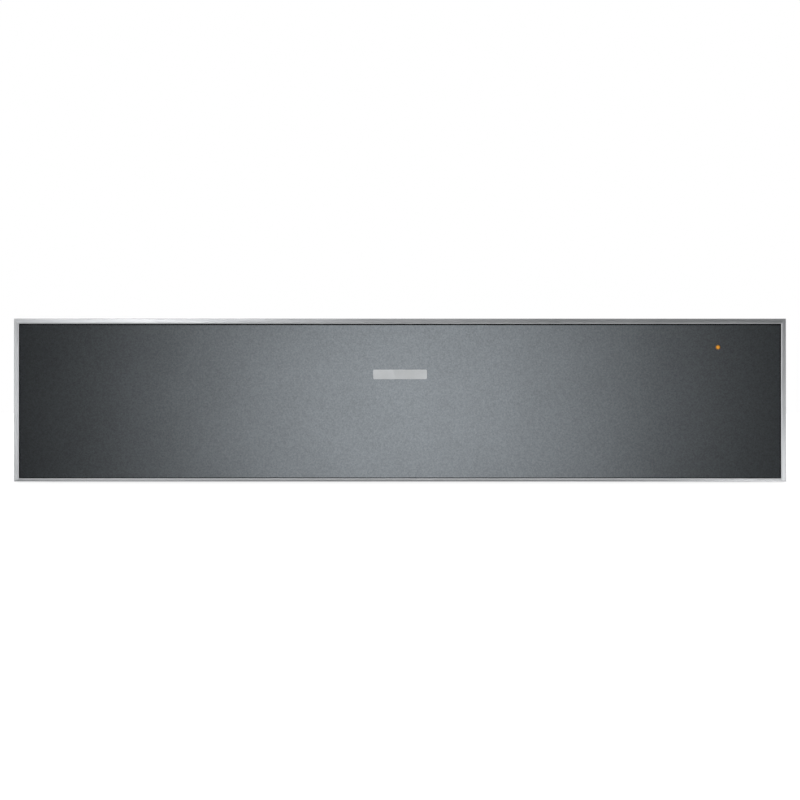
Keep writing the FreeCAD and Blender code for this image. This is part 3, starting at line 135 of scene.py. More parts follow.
class Grain(Enum):
    """Direction in which a surface was brushed, rolled or drawn."""

    ALONG_X = 0
    ALONG_Y = 1
    ALONG_Z = 2
    NONE = 3

    def pitch(self, width_mm: float, length_mm: float) -> tuple[float, float, float]:
        """Gives the pattern's cycles per metre along X, Y and Z.

        Args:
            width_mm: Width of one grain line, or of one grain where there is no direction.
            length_mm: Length of one grain line.

        Returns:
            Three scales for a Mapping node.
        """
        across, along = 1 / (width_mm * MM), 1 / (length_mm * MM)
        return tuple(along if n == self.value else across for n in range(3))


# ---------------------------------------------------------------- finishes
@dataclass(frozen=True)
class Ground:
    """What a pattern is built on: the material's tree, its shader, and each point's place in metres."""

    tree: bpy.types.NodeTree
    shader: bpy.types.Node
    place: bpy.types.NodeSocket


@dataclass(frozen=True)
class Finish:
    """A surface with a fine grain, a slow drift of tone and, where it has one, an edge tone that is partly
    wear and partly painted light.
    """

    title: str
    slot: str
    colour: str
    drift_colour: str
    metallic: float
    roughness: float
    roughness_spread: float = 0.06
    grain: Grain = Grain.NONE
    grain_width_mm: float = 0.4
    grain_length_mm: float = 30.0
    grain_detail: float = 3.0
    grain_roughness: float = 0.6
    relief_mm: float = 0.01
    drift_mm: float = 60.0
    drift_detail: float = 3.0
    drift_roughness: float = 0.55
    drift_share: float = 0.45
    contrast: tuple[float, float] = (0.32, 0.68)
    # The edge fields paint a tone along edges: a paler colour is partly wear and partly a painted highlight, a
    # darker one a painted shadow.
    edge_mm: float = 0.0
    edge_wear_and_painted_light_colour: str = "#ffffff"
    edge_turn: tuple[float, float] = (0.995, 0.9)
    edge_share: float = 0.7
    specular: float = 0.5

    def material(self) -> bpy.types.Material:
        """Builds the material the first time it is asked for.

        Returns:
            The material, the same one each time.
        """
        if self.title in bpy.data.materials:
            return bpy.data.materials[self.title]
        made = bpy.data.materials.new(self.title)
        made.use_nodes = True
        tree = made.node_tree
        tree.nodes.clear()
        plain = {
            "Base Color": linear(self.colour),
            "Metallic": self.metallic,
            "Roughness": self.roughness,
            "Specular IOR Level": self.specular,
        }
        shader = add_node(tree, "ShaderNodeBsdfPrincipled", plain)
        place = add_node(tree, "ShaderNodeTexCoord").outputs["Object"]
        self.pattern(Ground(tree, shader, place))
        add_node(tree, "ShaderNodeOutputMaterial", {"Surface": shader.outputs["BSDF"]})
        return made

    def pattern(self, ground: Ground) -> None:
        """Adds grain, drift and the edge tone, partly wear and partly painted light, to the shader.

        Args:
            ground: What the pattern is built on.
        """
        grain = self.grained(ground)
        _, share = self.clouded(ground, grain)
        self.surface(ground, share, share, grain)

    def grained(self, ground: Ground) -> bpy.types.Node:
        """Draws the grain as noise that is stretched along its direction.

        Args:
            ground: What the pattern is built on.

        Returns:
            The noise.
        """
        pitch = self.grain.pitch(self.grain_width_mm, self.grain_length_mm)
        lines = add_node(ground.tree, "ShaderNodeMapping", {"Vector": ground.place, "Scale": pitch})
        octaves = {"Detail": self.grain_detail, "Roughness": self.grain_roughness}
        return add_node(ground.tree, "ShaderNodeTexNoise", {"Vector": lines, "Scale": 1.0, **octaves})

    def clouded(self, ground: Ground, fine: Feed) -> tuple[bpy.types.Node, bpy.types.Node]:
        """Mixes slow clouds into a fine pattern.

        Args:
            ground: What the pattern is built on.
            fine: The fine pattern.

        Returns:
            The plain mixture, and the same with more contrast.
        """
        octaves = {"Detail": self.drift_detail, "Roughness": self.drift_roughness}
        size = {"Vector": ground.place, "Scale": 1 / (self.drift_mm * MM)}
        drift = add_node(ground.tree, "ShaderNodeTexNoise", {**size, **octaves})
        ends = {0: self.drift_share, 2: fine, 3: drift}
        mixed = add_node(ground.tree, "ShaderNodeMix", ends, data_type="FLOAT")
        low, high = self.contrast
        inputs = {"Value": mixed, "From Min": low, "From Max": high}
        return mixed, add_node(ground.tree, "ShaderNodeMapRange", inputs)

    def surface(self, ground: Ground, share: Feed, gloss: Feed | None, height: Feed) -> None:
        """Feeds the shader with the two tones, the gloss, the relief and the edge tone, partly wear and partly
        painted light.

        Args:
            ground: What the pattern is built on.
            share: How much of the second tone shows.
            gloss: What the roughness follows, or None where it is even.
            height: What the relief follows.
        """
        tones = {0: share, 6: linear(self.colour), 7: linear(self.drift_colour)}
        tone = add_node(ground.tree, "ShaderNodeMix", tones, data_type="RGBA").outputs[2]
        relief = add_node(ground.tree, "ShaderNodeBump", {"Height": height, "Distance": self.relief_mm * MM})
        feed(ground.tree, ground.shader, {"Base Color": self.edge_wear_and_painted_light(ground.tree, tone), "Normal": relief})
        if gloss is None:
            return
        low, high = self.roughness - self.roughness_spread, self.roughness + self.roughness_spread
        sheen = add_node(ground.tree, "ShaderNodeMapRange", {"Value": gloss, "To Min": low, "To Max": high})
        feed(ground.tree, ground.shader, {"Roughness": sheen})

    def edge_wear_and_painted_light(self, tree: bpy.types.NodeTree, tone: bpy.types.NodeSocket) -> bpy.types.NodeSocket:
        """Mixes the edge colour into the tone along edges: a paler colour is partly rubbed wear and partly a
        painted highlight, and a darker one is a painted shadow.

        Args:
            tree: The material's node tree.
            tone: The colour away from the edges.

        Returns:
            The colour with its painted edge tone, or the same colour where the finish has none.
        """
        if not self.edge_mm:
            return tone
        rounded = add_node(tree, "ShaderNodeBevel", {"Radius": self.edge_mm * MM}, samples=4)
        flat = add_node(tree, "ShaderNodeNewGeometry").outputs["Normal"]
        turn = add_node(tree, "ShaderNodeVectorMath", {0: rounded, 1: flat}, operation="DOT_PRODUCT")
        start, full = self.edge_turn
        reach = {"From Min": start, "From Max": full, "To Max": self.edge_share}
        # Paints light on the edges: a paler edge colour is partly wear and partly a painted highlight, a
        # darker one a painted shadow.
        edge_wear_and_light_share = add_node(tree, "ShaderNodeMapRange", {"Value": turn.outputs["Value"], **reach})
        ends = {0: edge_wear_and_light_share, 6: tone, 7: linear(self.edge_wear_and_painted_light_colour)}
        return add_node(tree, "ShaderNodeMix", ends, data_type="RGBA").outputs[2]


@dataclass(frozen=True)
class EtchedPane(Finish):
    """Satin-etched glass over a grey metallic back coat: a soft sheen full of tiny flakes, and cut edges
    that are polished clear."""

    drift_detail: float = 2.0
    drift_roughness: float = 0.5
    drift_share: float = 0.15
    contrast: tuple[float, float] = (0.3, 0.7)
    flake_mm: float = 1.0
    cut_edge_colour: str = "#1b2122"
    cut_edge_roughness: float = 0.12
    face_turn: tuple[float, float] = (0.6, 0.95)
    etched_coat: float = 0.08
    etched_roughness: float = 0.3

    def pattern(self, ground: Ground) -> None:
        """Adds the flakes, the etched skin and the polished edge.

        Args:
            ground: What the pattern is built on.
        """
        tree = ground.tree
        size = {"Vector": ground.place, "Scale": 1 / (self.flake_mm * MM)}
        flake = add_node(tree, "ShaderNodeTexNoise", {**size, "Detail": 2.0, "Roughness": 0.7})
        _, share = self.clouded(ground, flake)
        tones = {0: share, 6: linear(self.colour), 7: linear(self.drift_colour)}
        coat = add_node(tree, "ShaderNodeMix", tones, data_type="RGBA").outputs[2]
        normal = add_node(tree, "ShaderNodeNewGeometry").outputs["Normal"]
        facing = add_node(tree, "ShaderNodeSeparateXYZ", {0: normal}).outputs["Y"]
        either_way = add_node(tree, "ShaderNodeMath", {0: facing}, operation="ABSOLUTE")
        low, high = self.face_turn
        face = add_node(tree, "ShaderNodeMapRange", {"Value": either_way, "From Min": low, "From Max": high})
        ends = {0: face, 6: linear(self.cut_edge_colour), 7: coat}
        tone = add_node(tree, "ShaderNodeMix", ends, data_type="RGBA").outputs[2]
        sheens = {"To Min": self.cut_edge_roughness, "To Max": self.roughness}
        gloss = add_node(tree, "ShaderNodeMapRange", {"Value": face, **sheens})
        relief = add_node(tree, "ShaderNodeBump", {"Height": flake, "Distance": self.relief_mm * MM})
        skin = {"Coat Weight": self.etched_coat, "Coat Roughness": self.etched_roughness}
        body = {"Base Color": tone, "Roughness": gloss, "Metallic": face, "Normal": relief}
        feed(tree, ground.shader, {**skin, **body})


@dataclass(frozen=True)
class SpangledZinc(Finish):
    """Hot-dip zinc on sheet steel: crystals a few millimetres wide that differ in tone and gloss, with faint
    rolling lines over them."""

    grain_detail: float = 2.0
    grain_roughness: float = 0.5
    drift_roughness: float = 0.5
    drift_share: float = 0.35
    contrast: tuple[float, float] = (0.0, 1.0)
    crystal_mm: float = 7.0
    ragged_mm: float = 4.0
    ragged_reach_mm: float = 2.0

    def pattern(self, ground: Ground) -> None:
        """Adds the crystals and the rolling lines.

        Args:
            ground: What the pattern is built on.
        """
        tree, place = ground.tree, ground.place
        size = {"Vector": place, "Scale": 1 / (self.ragged_mm * MM)}
        ragged = add_node(tree, "ShaderNodeTexNoise", {**size, "Detail": 2.0}).outputs[1]
        reach = {0: ragged, 1: (self.ragged_reach_mm * MM,) * 3, 2: place}
        shifted = add_node(tree, "ShaderNodeVectorMath", reach, operation="MULTIPLY_ADD")
        cells = {"Vector": shifted, "Scale": 1 / (self.crystal_mm * MM)}
        crystal = add_node(tree, "ShaderNodeTexVoronoi", cells).outputs["Color"]
        cell = add_node(tree, "ShaderNodeSeparateXYZ", {0: crystal})
        _, share = self.clouded(ground, cell)
        self.surface(ground, share, cell.outputs[1], self.grained(ground))


@dataclass(frozen=True)
class FeltedWool(Finish):
    """Pressed mineral wool: short fibres that lie in every direction, in two tones of straw."""

    drift_mm: float = 18.0
    drift_detail: float = 2.0
    drift_roughness: float = 0.5
    drift_share: float = 0.4
    contrast: tuple[float, float] = (0.35, 0.65)
    fibre_mm: float = 1.2
    tangle: float = 2.5

    def pattern(self, ground: Ground) -> None:
        """Adds the fibres and the clumps.

        Args:
            ground: What the pattern is built on.
        """
        size = {"Vector": ground.place, "Scale": 1 / (self.fibre_mm * MM)}
        strands = {**size, "Detail": 6.0, "Distortion": self.tangle}
        clumps, share = self.clouded(ground, add_node(ground.tree, "ShaderNodeTexNoise", strands))
        self.surface(ground, share, None, clumps)


@dataclass(frozen=True)
class LitAmber(Finish):
    """Amber acrylic with a lamp behind it: it glows round its axis and darkens towards its rim."""

    glow: float = 0.5
    axis: tuple[float, float, float] = (244.7, 0.0, 104.3)
    flow_mm: float = 0.9
    rim_mm: float = 2.0
    rim_start: float = 0.55
    rim_colour: str = "#4a2706"

    def pattern(self, ground: Ground) -> None:
        """Adds the uneven colour of the moulding and its glow.

        Args:
            ground: What the pattern is built on.
        """
        tree, place = ground.tree, ground.place
        size = {"Vector": place, "Scale": 1 / (self.flow_mm * MM)}
        flow = add_node(tree, "ShaderNodeTexNoise", {**size, "Detail": 2.0})
        tones = {0: flow, 6: linear(self.colour), 7: linear(self.drift_colour)}
        middle = add_node(tree, "ShaderNodeMix", tones, data_type="RGBA").outputs[2]
        # The lamp's axis runs along Y, so depth is left out of the distance to it.
        level = {0: place, 1: (1.0, 0.0, 1.0), 2: tuple(-c * MM for c in self.axis)}
        away = add_node(tree, "ShaderNodeVectorMath", level, operation="MULTIPLY_ADD")
        distance = add_node(tree, "ShaderNodeVectorMath", {0: away}, operation="LENGTH").outputs["Value"]
        start, full = self.rim_start * self.rim_mm * MM, self.rim_mm * MM
        rim = add_node(tree, "ShaderNodeMapRange", {"Value": distance, "From Min": start, "From Max": full})
        ends = {0: rim, 6: middle, 7: linear(self.rim_colour)}
        tone = add_node(tree, "ShaderNodeMix", ends, data_type="RGBA").outputs[2]
        lit = {"Base Color": tone, "Emission Color": tone, "Emission Strength": self.glow}
        feed(tree, ground.shader, lit)


@dataclass(frozen=True)
class TracedBoard(Finish):
    """Glass-fibre circuit board: copper tracks under green lacquer show as lighter raised lines between
    tinned pads. Whatever stands in front of the board or behind it has the colour of its own moulding."""

    track_mm: float = 2.6
    track_edge_mm: float = 0.22
    track_run: float = 9.0
    track_shift: float = 0.37
    track_colour: str = "#4f9a63"
    pad_colour: str = "#b9bcb6"
    pad_share: float = 0.16
    pad_scatter: float = 0.5
    front_mm: float = 0.0
    back_mm: float = 0.0
    skin_share: float = 0.55
    middle_mm: float = 0.0
    upper_colour: str = "#232427"
    lower_colour: str = "#232427"

    def pattern(self, ground: Ground) -> None:
        """Adds the tracks, the pads and the colours of the parts.

        Args:
            ground: What the pattern is built on.
        """
        tree, place, track = ground.tree, ground.place, self.track_mm * MM
        turn = (QUARTER_TURN, 0.0, 0.0)
        upright = add_node(tree, "ShaderNodeMapping", {"Vector": place, "Rotation": turn})
        runs = {
            "Vector": upright,
            "Scale": 1.0,
            "Mortar Size": self.track_edge_mm * MM,
            "Brick Width": self.track_run * track,
            "Row Height": track / 2,
            "Color1": linear(self.colour),
            "Color2": linear(self.drift_colour),
            "Mortar": linear(self.track_colour),
        }
        tracks = add_node(tree, "ShaderNodeTexBrick", runs, offset=self.track_shift)
        scatter = {"Vector": upright, "Scale": 1 / (2 * track), "Randomness": self.pad_scatter}
        pads = add_node(tree, "ShaderNodeTexVoronoi", scatter).outputs["Distance"]
        axis = add_node(tree, "ShaderNodeSeparateXYZ", {0: place})
        middle = (self.front_mm + self.back_mm) / 2 * MM
        reach = self.skin_share * (self.back_mm - self.front_mm) * MM
        found = {}
        for name, operation, inputs in (
            ("pad", "LESS_THAN", {0: pads, 1: self.pad_share}),
            ("upper", "GREATER_THAN", {0: axis.outputs["Z"], 1: self.middle_mm * MM}),
            ("ahead", "LESS_THAN", {0: axis.outputs["Y"], 1: self.front_mm * MM}),
            ("board", "COMPARE", {0: axis.outputs["Y"], 1: middle, 2: reach}),
        ):
            found[name] = add_node(tree, "ShaderNodeMath", inputs, operation=operation)
        either = {0: found["upper"], 1: found["ahead"]}
        first = add_node(tree, "ShaderNodeMath", either, operation="MAXIMUM")
        plated = {0: found["pad"], 6: tracks, 7: linear(self.pad_colour)}
        board = add_node(tree, "ShaderNodeMix", plated, data_type="RGBA").outputs[2]
        moulded = {0: first, 6: linear(self.lower_colour), 7: linear(self.upper_colour)}
        part = add_node(tree, "ShaderNodeMix", moulded, data_type="RGBA").outputs[2]
        both = {0: found["board"], 6: part, 7: board}
        tone = add_node(tree, "ShaderNodeMix", both, data_type="RGBA").outputs[2]
        raised = {"Height": tracks.outputs["Fac"], "Distance": self.relief_mm * MM, "Strength": found["board"]}
        relief = add_node(tree, "ShaderNodeBump", raised)
        feed(tree, ground.shader, {"Base Color": tone, "Normal": relief})


class Finishes:
    """Every finish of the warming drawer, each named for what it is."""

    # Real brushing, rolling and moulding marks are 0.02 to 0.1 mm wide. They are drawn 0.3 to 0.8 mm wide,
    # and the pane's flakes 1 mm, because finer ones would not show.

    # Etched so that it scatters a lamp into one broad soft glow, dark where no lamp meets it.
    PANE = EtchedPane(
        "etched_glass_on_grey_lacquer", "grey_glass", "#5f6366", "#757a7e", 1.0, 0.277,
        relief_mm=0.0006, drift_mm=45.0,
    )
    # Brushed along each bar, so it looks streaked lengthwise and even across, with brighter edges that are
    # partly rubbed and partly a painted highlight.
    FRAME_LENGTHWISE = Finish(
        "brushed_steel_level", "bright_steel", "#a0a2a4", "#babbbd", 1.0, 0.5,
        grain=Grain.ALONG_X, grain_width_mm=0.35, grain_length_mm=45.0, relief_mm=0.02, drift_mm=90.0,
        edge_mm=0.3, edge_wear_and_painted_light_colour="#c7c8ca",
    )
    # The same steel cut from bars that stand up, so its streaks run up and down.
    FRAME_UPRIGHT = replace(
        FRAME_LENGTHWISE, title="brushed_steel_upright", grain=Grain.ALONG_Z, drift_mm=60.0
    )
    # Extruded rubber: nearly black, dull, with a dusty bloom.
    SEAL = Finish(
        "extruded_black_rubber", "black_seal", "#070708", "#0e0e0f", 0.0, 0.85, relief_mm=0.02, specular=0.15
    )
    # Mill-finished zinc coat with small crystals, so a flat sheet glitters in patches instead of mirroring;
    # its paler edges are partly wear and partly a painted highlight.
    ZINC = SpangledZinc(
        "spangled_zinc_sheet", "zinc_sheet", "#acafb1", "#bbbec0", 1.0, 0.42, 0.03,
        grain=Grain.ALONG_X, grain_width_mm=0.8, grain_length_mm=60.0, relief_mm=0.006, drift_mm=140.0,
        edge_mm=0.5, edge_wear_and_painted_light_colour="#d8dadb",
    )
    # Loose straw-coloured fibre pressed to a board: no shine at all, and a rough clumped face.
    WOOL = FeltedWool("pressed_mineral_wool", "mineral_wool", "#b5a473", "#8e7d52", 0.0, 0.95, relief_mm=0.4)
    # Satin-brushed stainless sheet: an even, faintly cool grey whose highlights are drawn out sideways, with
    # paler edges that are partly wear and partly a painted highlight.
    STAINLESS = Finish(
        "satin_stainless_sheet", "stainless", "#b6b7b8", "#c6c7c8", 1.0, 0.34,
        grain=Grain.ALONG_X, grain_width_mm=0.3, grain_length_mm=35.0, relief_mm=0.008, drift_mm=120.0,
        edge_mm=0.4, edge_wear_and_painted_light_colour="#dcdddd",
    )
    # The same sheet folded into side walls, so its grain runs from front to back.
    STAINLESS_SIDES = replace(STAINLESS, title="satin_stainless_side_sheet", grain=Grain.ALONG_Y)
    # Moulded amber that is lit from its far end: a bright middle and a dark brown rim.
    LENS = LitAmber(
        "amber_acrylic_light_pipe", "amber_lens", "#c8801f", "#dc9a34", 0.0, 0.3,
        rim_mm=1.8, rim_colour="#4a2a08",
    )
    # The lamp's own tinted resin: paler than the pipe, and its glow reaches nearly to the rim.
    LED = LitAmber(
        "amber_lamp_body", "led_amber", "#d98a2a", "#efb04e", 0.0, 0.25,
        glow=0.3, rim_mm=3.0, rim_colour="#9a5a14",
    )
    # Toughened glass over black enamel: deep, mirror-smooth, with faint roller wave, and a paler edge that is
    # a painted highlight on its polished rim.
    BASE_GLASS = Finish(
        "toughened_glass_on_black_enamel", "base_glass", "#1b1c1e", "#232527", 0.0, 0.07, 0.02,
        grain_width_mm=14.0, relief_mm=0.01, drift_mm=40.0, edge_mm=0.6, edge_wear_and_painted_light_colour="#5f6a68",
    )
    # Press-cured silicone: soft sheen and a fine matt tooth.
    MAT = Finish(
        "press_cured_silicone", "mat_silicone", "#2c2d2f", "#383a3c", 0.0, 0.62,
        grain_width_mm=0.7, relief_mm=0.04,
    )
    # Turned and zinc-plated: small bright arcs, a trace of blue.
    SCREW = Finish(
        "blue_zinc_plated_steel", "screw_steel", "#b4b8bd", "#cdd0d3", 1.0, 0.3,
        grain_width_mm=0.5, drift_mm=3.0,
    )
    # Cold-rolled and plated along its length, with a thin film of grease that dulls it in patches, and paler
    # edges that are partly wear and partly a painted highlight.
    RAIL = Finish(
        "rolled_rail_steel_greased", "rail_steel", "#a6a9ac", "#c2c4c6", 1.0, 0.32, 0.08,
        grain=Grain.ALONG_Y, grain_width_mm=0.5, grain_length_mm=60.0, relief_mm=0.008, drift_mm=35.0,
        edge_mm=0.4, edge_wear_and_painted_light_colour="#dcdddd",
    )
    # Hard-rolled strip and polished balls: smoother and warmer than the greased rail round it.
    CAGE = Finish("bright_cage_strip", "cage_steel", "#c6c3ba", "#d6d4cd", 1.0, 0.22, relief_mm=0.004)
    # Hot-dip aluminium-silicon coat: pale, blotchy and dull.
    TRAY = Finish(
        "aluminised_steel_sheet", "tray_aluminised", "#c3c4c4", "#aaabac", 1.0, 0.45,
        grain_width_mm=1.6, relief_mm=0.015, drift_mm=18.0,
    )
    # Nickel alloy sheath after its first heats: olive-brown oxide in uneven patches, dull and dark.
    SHEATH = Finish(
        "heat_oxidised_sheath", "element_sheath", "#4a4640", "#6a5f4c", 0.8, 0.5,
        grain_width_mm=1.0, relief_mm=0.02, drift_mm=22.0,
    )
    # Injection-moulded with a spark-eroded texture: a fine matt tooth, paler along its edges, partly from
    # rubbing and partly as a painted highlight.
    BLACK_PLASTIC = Finish(
        "spark_textured_black_plastic", "black_plastic", "#1c1c1e", "#27272a", 0.0, 0.48,
        grain_width_mm=0.5, relief_mm=0.03, drift_mm=12.0, edge_mm=0.4, edge_wear_and_painted_light_colour="#47474b",
    )
    # Glass-filled nylon from a plain mould: an even mid grey, paler along its edges as a painted highlight.
    GREY_PLASTIC = Finish(
        "moulded_grey_plastic", "grey_plastic", "#7d8082", "#8a8d8f", 0.0, 0.5,
        grain_width_mm=0.6, relief_mm=0.02, drift_mm=20.0, edge_mm=0.4, edge_wear_and_painted_light_colour="#9fa2a4",
    )
    # Deep-drawn and zinc-nickel plated: darker and softer than sheet, with no direction to its grain.
    MOTOR = Finish("plated_motor_cup", "motor_steel", "#8f9192", "#a8aaab", 1.0, 0.38, grain_width_mm=0.6)
    # Lacquered laminate in a deep green, with black chips on it and a pale plug above them.
    HEADER_BOARD = TracedBoard(
        "green_control_board", "board_green", "#1e5a38", "#236440", 0.0, 0.35, relief_mm=0.05,
        front_mm=-225.0, back_mm=-223.4, middle_mm=115.4, upper_colour="#cfccc0",
    )
    # The same laminate with black relays above, and below them a transformer and a capacitor in amber tape.
    MODULE_BOARD = replace(
        HEADER_BOARD, title="green_power_board", front_mm=218.0, back_mm=219.6, middle_mm=56.4,
        upper_colour="#232427", lower_colour="#b3953f",
    )
    # Drawn through a die along its length: fine straight scratches and a clean shine.
    SENSOR = Finish("drawn_sensor_steel", "sensor_steel", "#b0b1b1", "#c2c3c3", 1.0, 0.3, grain=Grain.ALONG_Y)
    # Phosphated wire: a dark dull grey that shows its coils by shadow more than by shine.
    SPRING = Finish("phosphated_spring_wire", "spring_steel", "#77797c", "#8e9092", 1.0, 0.4, drift_mm=4.0)
    # Extruded silicone over the leads: pale, waxy, and a little dusty.
    SLEEVE = Finish(
        "silicone_wire_sleeve", "wire_sleeve", "#a9a8a2", "#bdbcb6", 0.0, 0.55,
        grain_width_mm=0.6, drift_mm=25.0,
    )
    # Compression-moulded rubber: black gone grey, dull, with a pebbled skin.
    FOOT = Finish(
        "moulded_foot_rubber", "foot_rubber", "#19191a", "#242425", 0.0, 0.8,
        grain_width_mm=0.8, relief_mm=0.05,
    )
    # Fine-blasted aluminium, paler than the pane round it, with a darker rim along its edges that is a painted
    # shadow.
    PLATE = Finish(
        "blasted_aluminium_plate", "bright_steel", "#a3a5a7", "#b0b2b3", 1.0, 0.31, 0.03,
        grain_width_mm=0.35, relief_mm=0.004, drift_mm=9.0, edge_mm=0.4, edge_wear_and_painted_light_colour="#6f7173",
    )
    # Enamel wiped into the groove: an off-white line that reads from above on the black knob.
    POINTER_PAINT = Finish(
        "white_pointer_paint", "black_plastic", "#c9c9c5", "#d9d9d6", 0.0, 0.5, grain_width_mm=0.3
    )
    # Screen-printed ink: flat grey with pinholes of the mesh it was pushed through.
    INK = Finish("screen_printed_ink", "black_plastic", "#2c2d2f", "#3a3b3d", 0.0, 0.6, grain_width_mm=0.3)


# ---------------------------------------------------------------- plain meshes
def mesh_object(title: str, made: bmesh.types.BMesh, crease_degrees: float = 35.0) -> bpy.types.Object:
    """Turns an edited mesh into an object with smooth faces and sharp creases.

    Args:
        title: Name of the piece.
        made: The edited mesh, which is freed.
        crease_degrees: Edges that turn more than this stay sharp.

    Returns:
        The object, linked to the scene.
    """
    bmesh.ops.remove_doubles(made, verts=made.verts, dist=1e-7)
    bmesh.ops.recalc_face_normals(made, faces=made.faces)
    mesh = bpy.data.meshes.new(title)
    made.to_mesh(mesh)
    made.free()
    mesh.shade_smooth()
    mesh.set_sharp_from_angle(angle=math.radians(crease_degrees))
    piece = bpy.data.objects.new(title, mesh)
    bpy.context.scene.collection.objects.link(piece)
    return piece


def flat_bar(title: str, size_mm: Vector, middle_mm: Vector) -> bpy.types.Object:
    """Builds a small rectangular bar.

    Args:
        title: Name of the piece.
        size_mm: Its size along X, Y and Z.
        middle_mm: Its middle.

    Returns:
        The bar's object.
    """
    made = bmesh.new()
    bmesh.ops.create_cube(made, size=1.0)
    bmesh.ops.scale(made, verts=made.verts, vec=size_mm * MM)
    bmesh.ops.translate(made, verts=made.verts, vec=middle_mm * MM)
    return mesh_object(title, made)


def stacked_rings(title: str, rings: Sequence[Sequence[Vector]]) -> bpy.types.Object:
    """Builds a closed solid from rings of points, skinned one to the next.

    Args:
        title: Name of the shape.
        rings: Rings with the same number of points, or single points at the two ends.

    Returns:
        The shape's object.
    """
    made = bmesh.new()
    rows = [[made.verts.new(point) for point in ring] for ring in rings]
    for upper, lower in zip(rows, rows[1:]):
        for n in range(max(len(upper), len(lower))):
            after = n + 1
            corners = [upper[n % len(upper)], upper[after % len(upper)]]
            corners += [lower[after % len(lower)], lower[n % len(lower)]]
            made.faces.new(list(dict.fromkeys(corners)))
    return mesh_object(title, made)


def middle_of_box(mesh: bpy.types.Mesh) -> Vector:
    """Gives the middle of a mesh's box."""
    corners = [vertex.co for vertex in mesh.vertices]
    return Vector([(min(c[n] for c in corners) + max(c[n] for c in corners)) / 2 for n in range(3)])


def solids_of(node: bpy.types.Object) -> list[tuple[Vector, Vector]]:
    """Finds the separate solids of a CAD node on a merged copy of its mesh.

    Args:
        node: The CAD node's object.

    Returns:
        Lowest and highest corner of each solid, in metres.
    """
    copy = bmesh.new()
    copy.from_mesh(node.data)
    bmesh.ops.remove_doubles(copy, verts=copy.verts, dist=1e-6)
    copy.verts.ensure_lookup_table()
    seen: set[int] = set()
    boxes = []
    for start in copy.verts:
        if start.index in seen:
            continue
        seen.add(start.index)
        open_ends, members = [start], []
        while open_ends:
            vert = open_ends.pop()
            members.append(vert.co.copy())
            for edge in vert.link_edges:
                other = edge.other_vert(vert)
                if other.index not in seen:
                    seen.add(other.index)
                    open_ends.append(other)
        axes = [[member[n] for member in members] for n in range(3)]
        boxes.append((Vector([min(axis) for axis in axes]), Vector([max(axis) for axis in axes])))
    copy.free()
    return boxes


@dataclass(frozen=True)
class TurnedShape:
    """A round shape given by its radius and height at each step, some steps with six lobes."""

    title: str
    steps_mm: tuple[tuple[float, float, float], ...]
    sides: int = 36

    def build(self) -> bpy.types.Object:
        """Builds the shape on the Z axis, from its top down.

        Returns:
            The shape's object.
        """
        rings = []
        for radius, height, lobe in self.steps_mm:
            ring = []
            for n in range(self.sides if radius else 1):
                angle = math.tau * n / self.sides
                reach = radius * (1 + lobe * math.cos(6 * angle)) * MM
                ring.append(Vector((reach * math.cos(angle), reach * math.sin(angle), height * MM)))
            rings.append(ring)
        return stacked_rings(self.title, rings)


@dataclass(frozen=True)
class PanHeadScrew:
    """A pan-head screw with a six-lobe recess, its seat at zero height."""

    title: str
    head_mm: float = 2.9
    rise_mm: float = 1.4
    shank_mm: float = 1.5
    grip_mm: float = 4.0
    recess_share: float = 0.3

    def build(self) -> bpy.types.Object:
        """Turns the screw, from its recess down to the end of its shank.

        Returns:
            The screw's object.
        """
        head, rise, floor = self.head_mm, self.rise_mm, self.rise_mm * self.recess_share
        recess = ((0.0, floor - 0.15, 0.0), (head * 0.36, floor, LOBE), (head * 0.40, rise * 0.97, LOBE))
        crown = ((head * 0.55, rise, 0.04), (head * 0.80, rise * 0.86, 0.0), (head * 0.95, rise * 0.52, 0.0))
        rim = ((head, rise * 0.2, 0.0), (head, 0.0, 0.0))
        shank = ((self.shank_mm, 0.0, 0.0), (self.shank_mm, -self.grip_mm, 0.0), (0.0, -self.grip_mm, 0.0))
        return TurnedShape(self.title, (*recess, *crown, *rim, *shank)).build()


@dataclass(frozen=True)
class LongBead:
    """A pressed bead: a long oval that rises from a sheet with a soft shoulder."""

    title: str
    length_mm: float
    width_mm: float
    rise_mm: float
    sides: int = 24
    section: tuple[tuple[float, float], ...] = (
        (0.0, 1.0), (0.45, 1.0), (0.7, 0.8), (0.9, 0.25), (1.0, 0.0), (0.0, 0.0)
    )

    def build(self) -> bpy.types.Object:
        """Builds the bead lengthwise along X, its foot on the XY plane.

        Returns:
            The bead's object.
        """
        half = (self.length_mm - self.width_mm) / 2
        rings = []
        for share, height in self.section:
            radius = self.width_mm / 2 * share
            ring = []
            for n in range(self.sides):
                angle = math.tau * (n + 0.5) / self.sides
                along = math.copysign(half, math.cos(angle)) + radius * math.cos(angle)
                ring.append(Vector((along * MM, radius * math.sin(angle) * MM, height * self.rise_mm * MM)))
            rings.append(ring)
        return stacked_rings(self.title, rings)


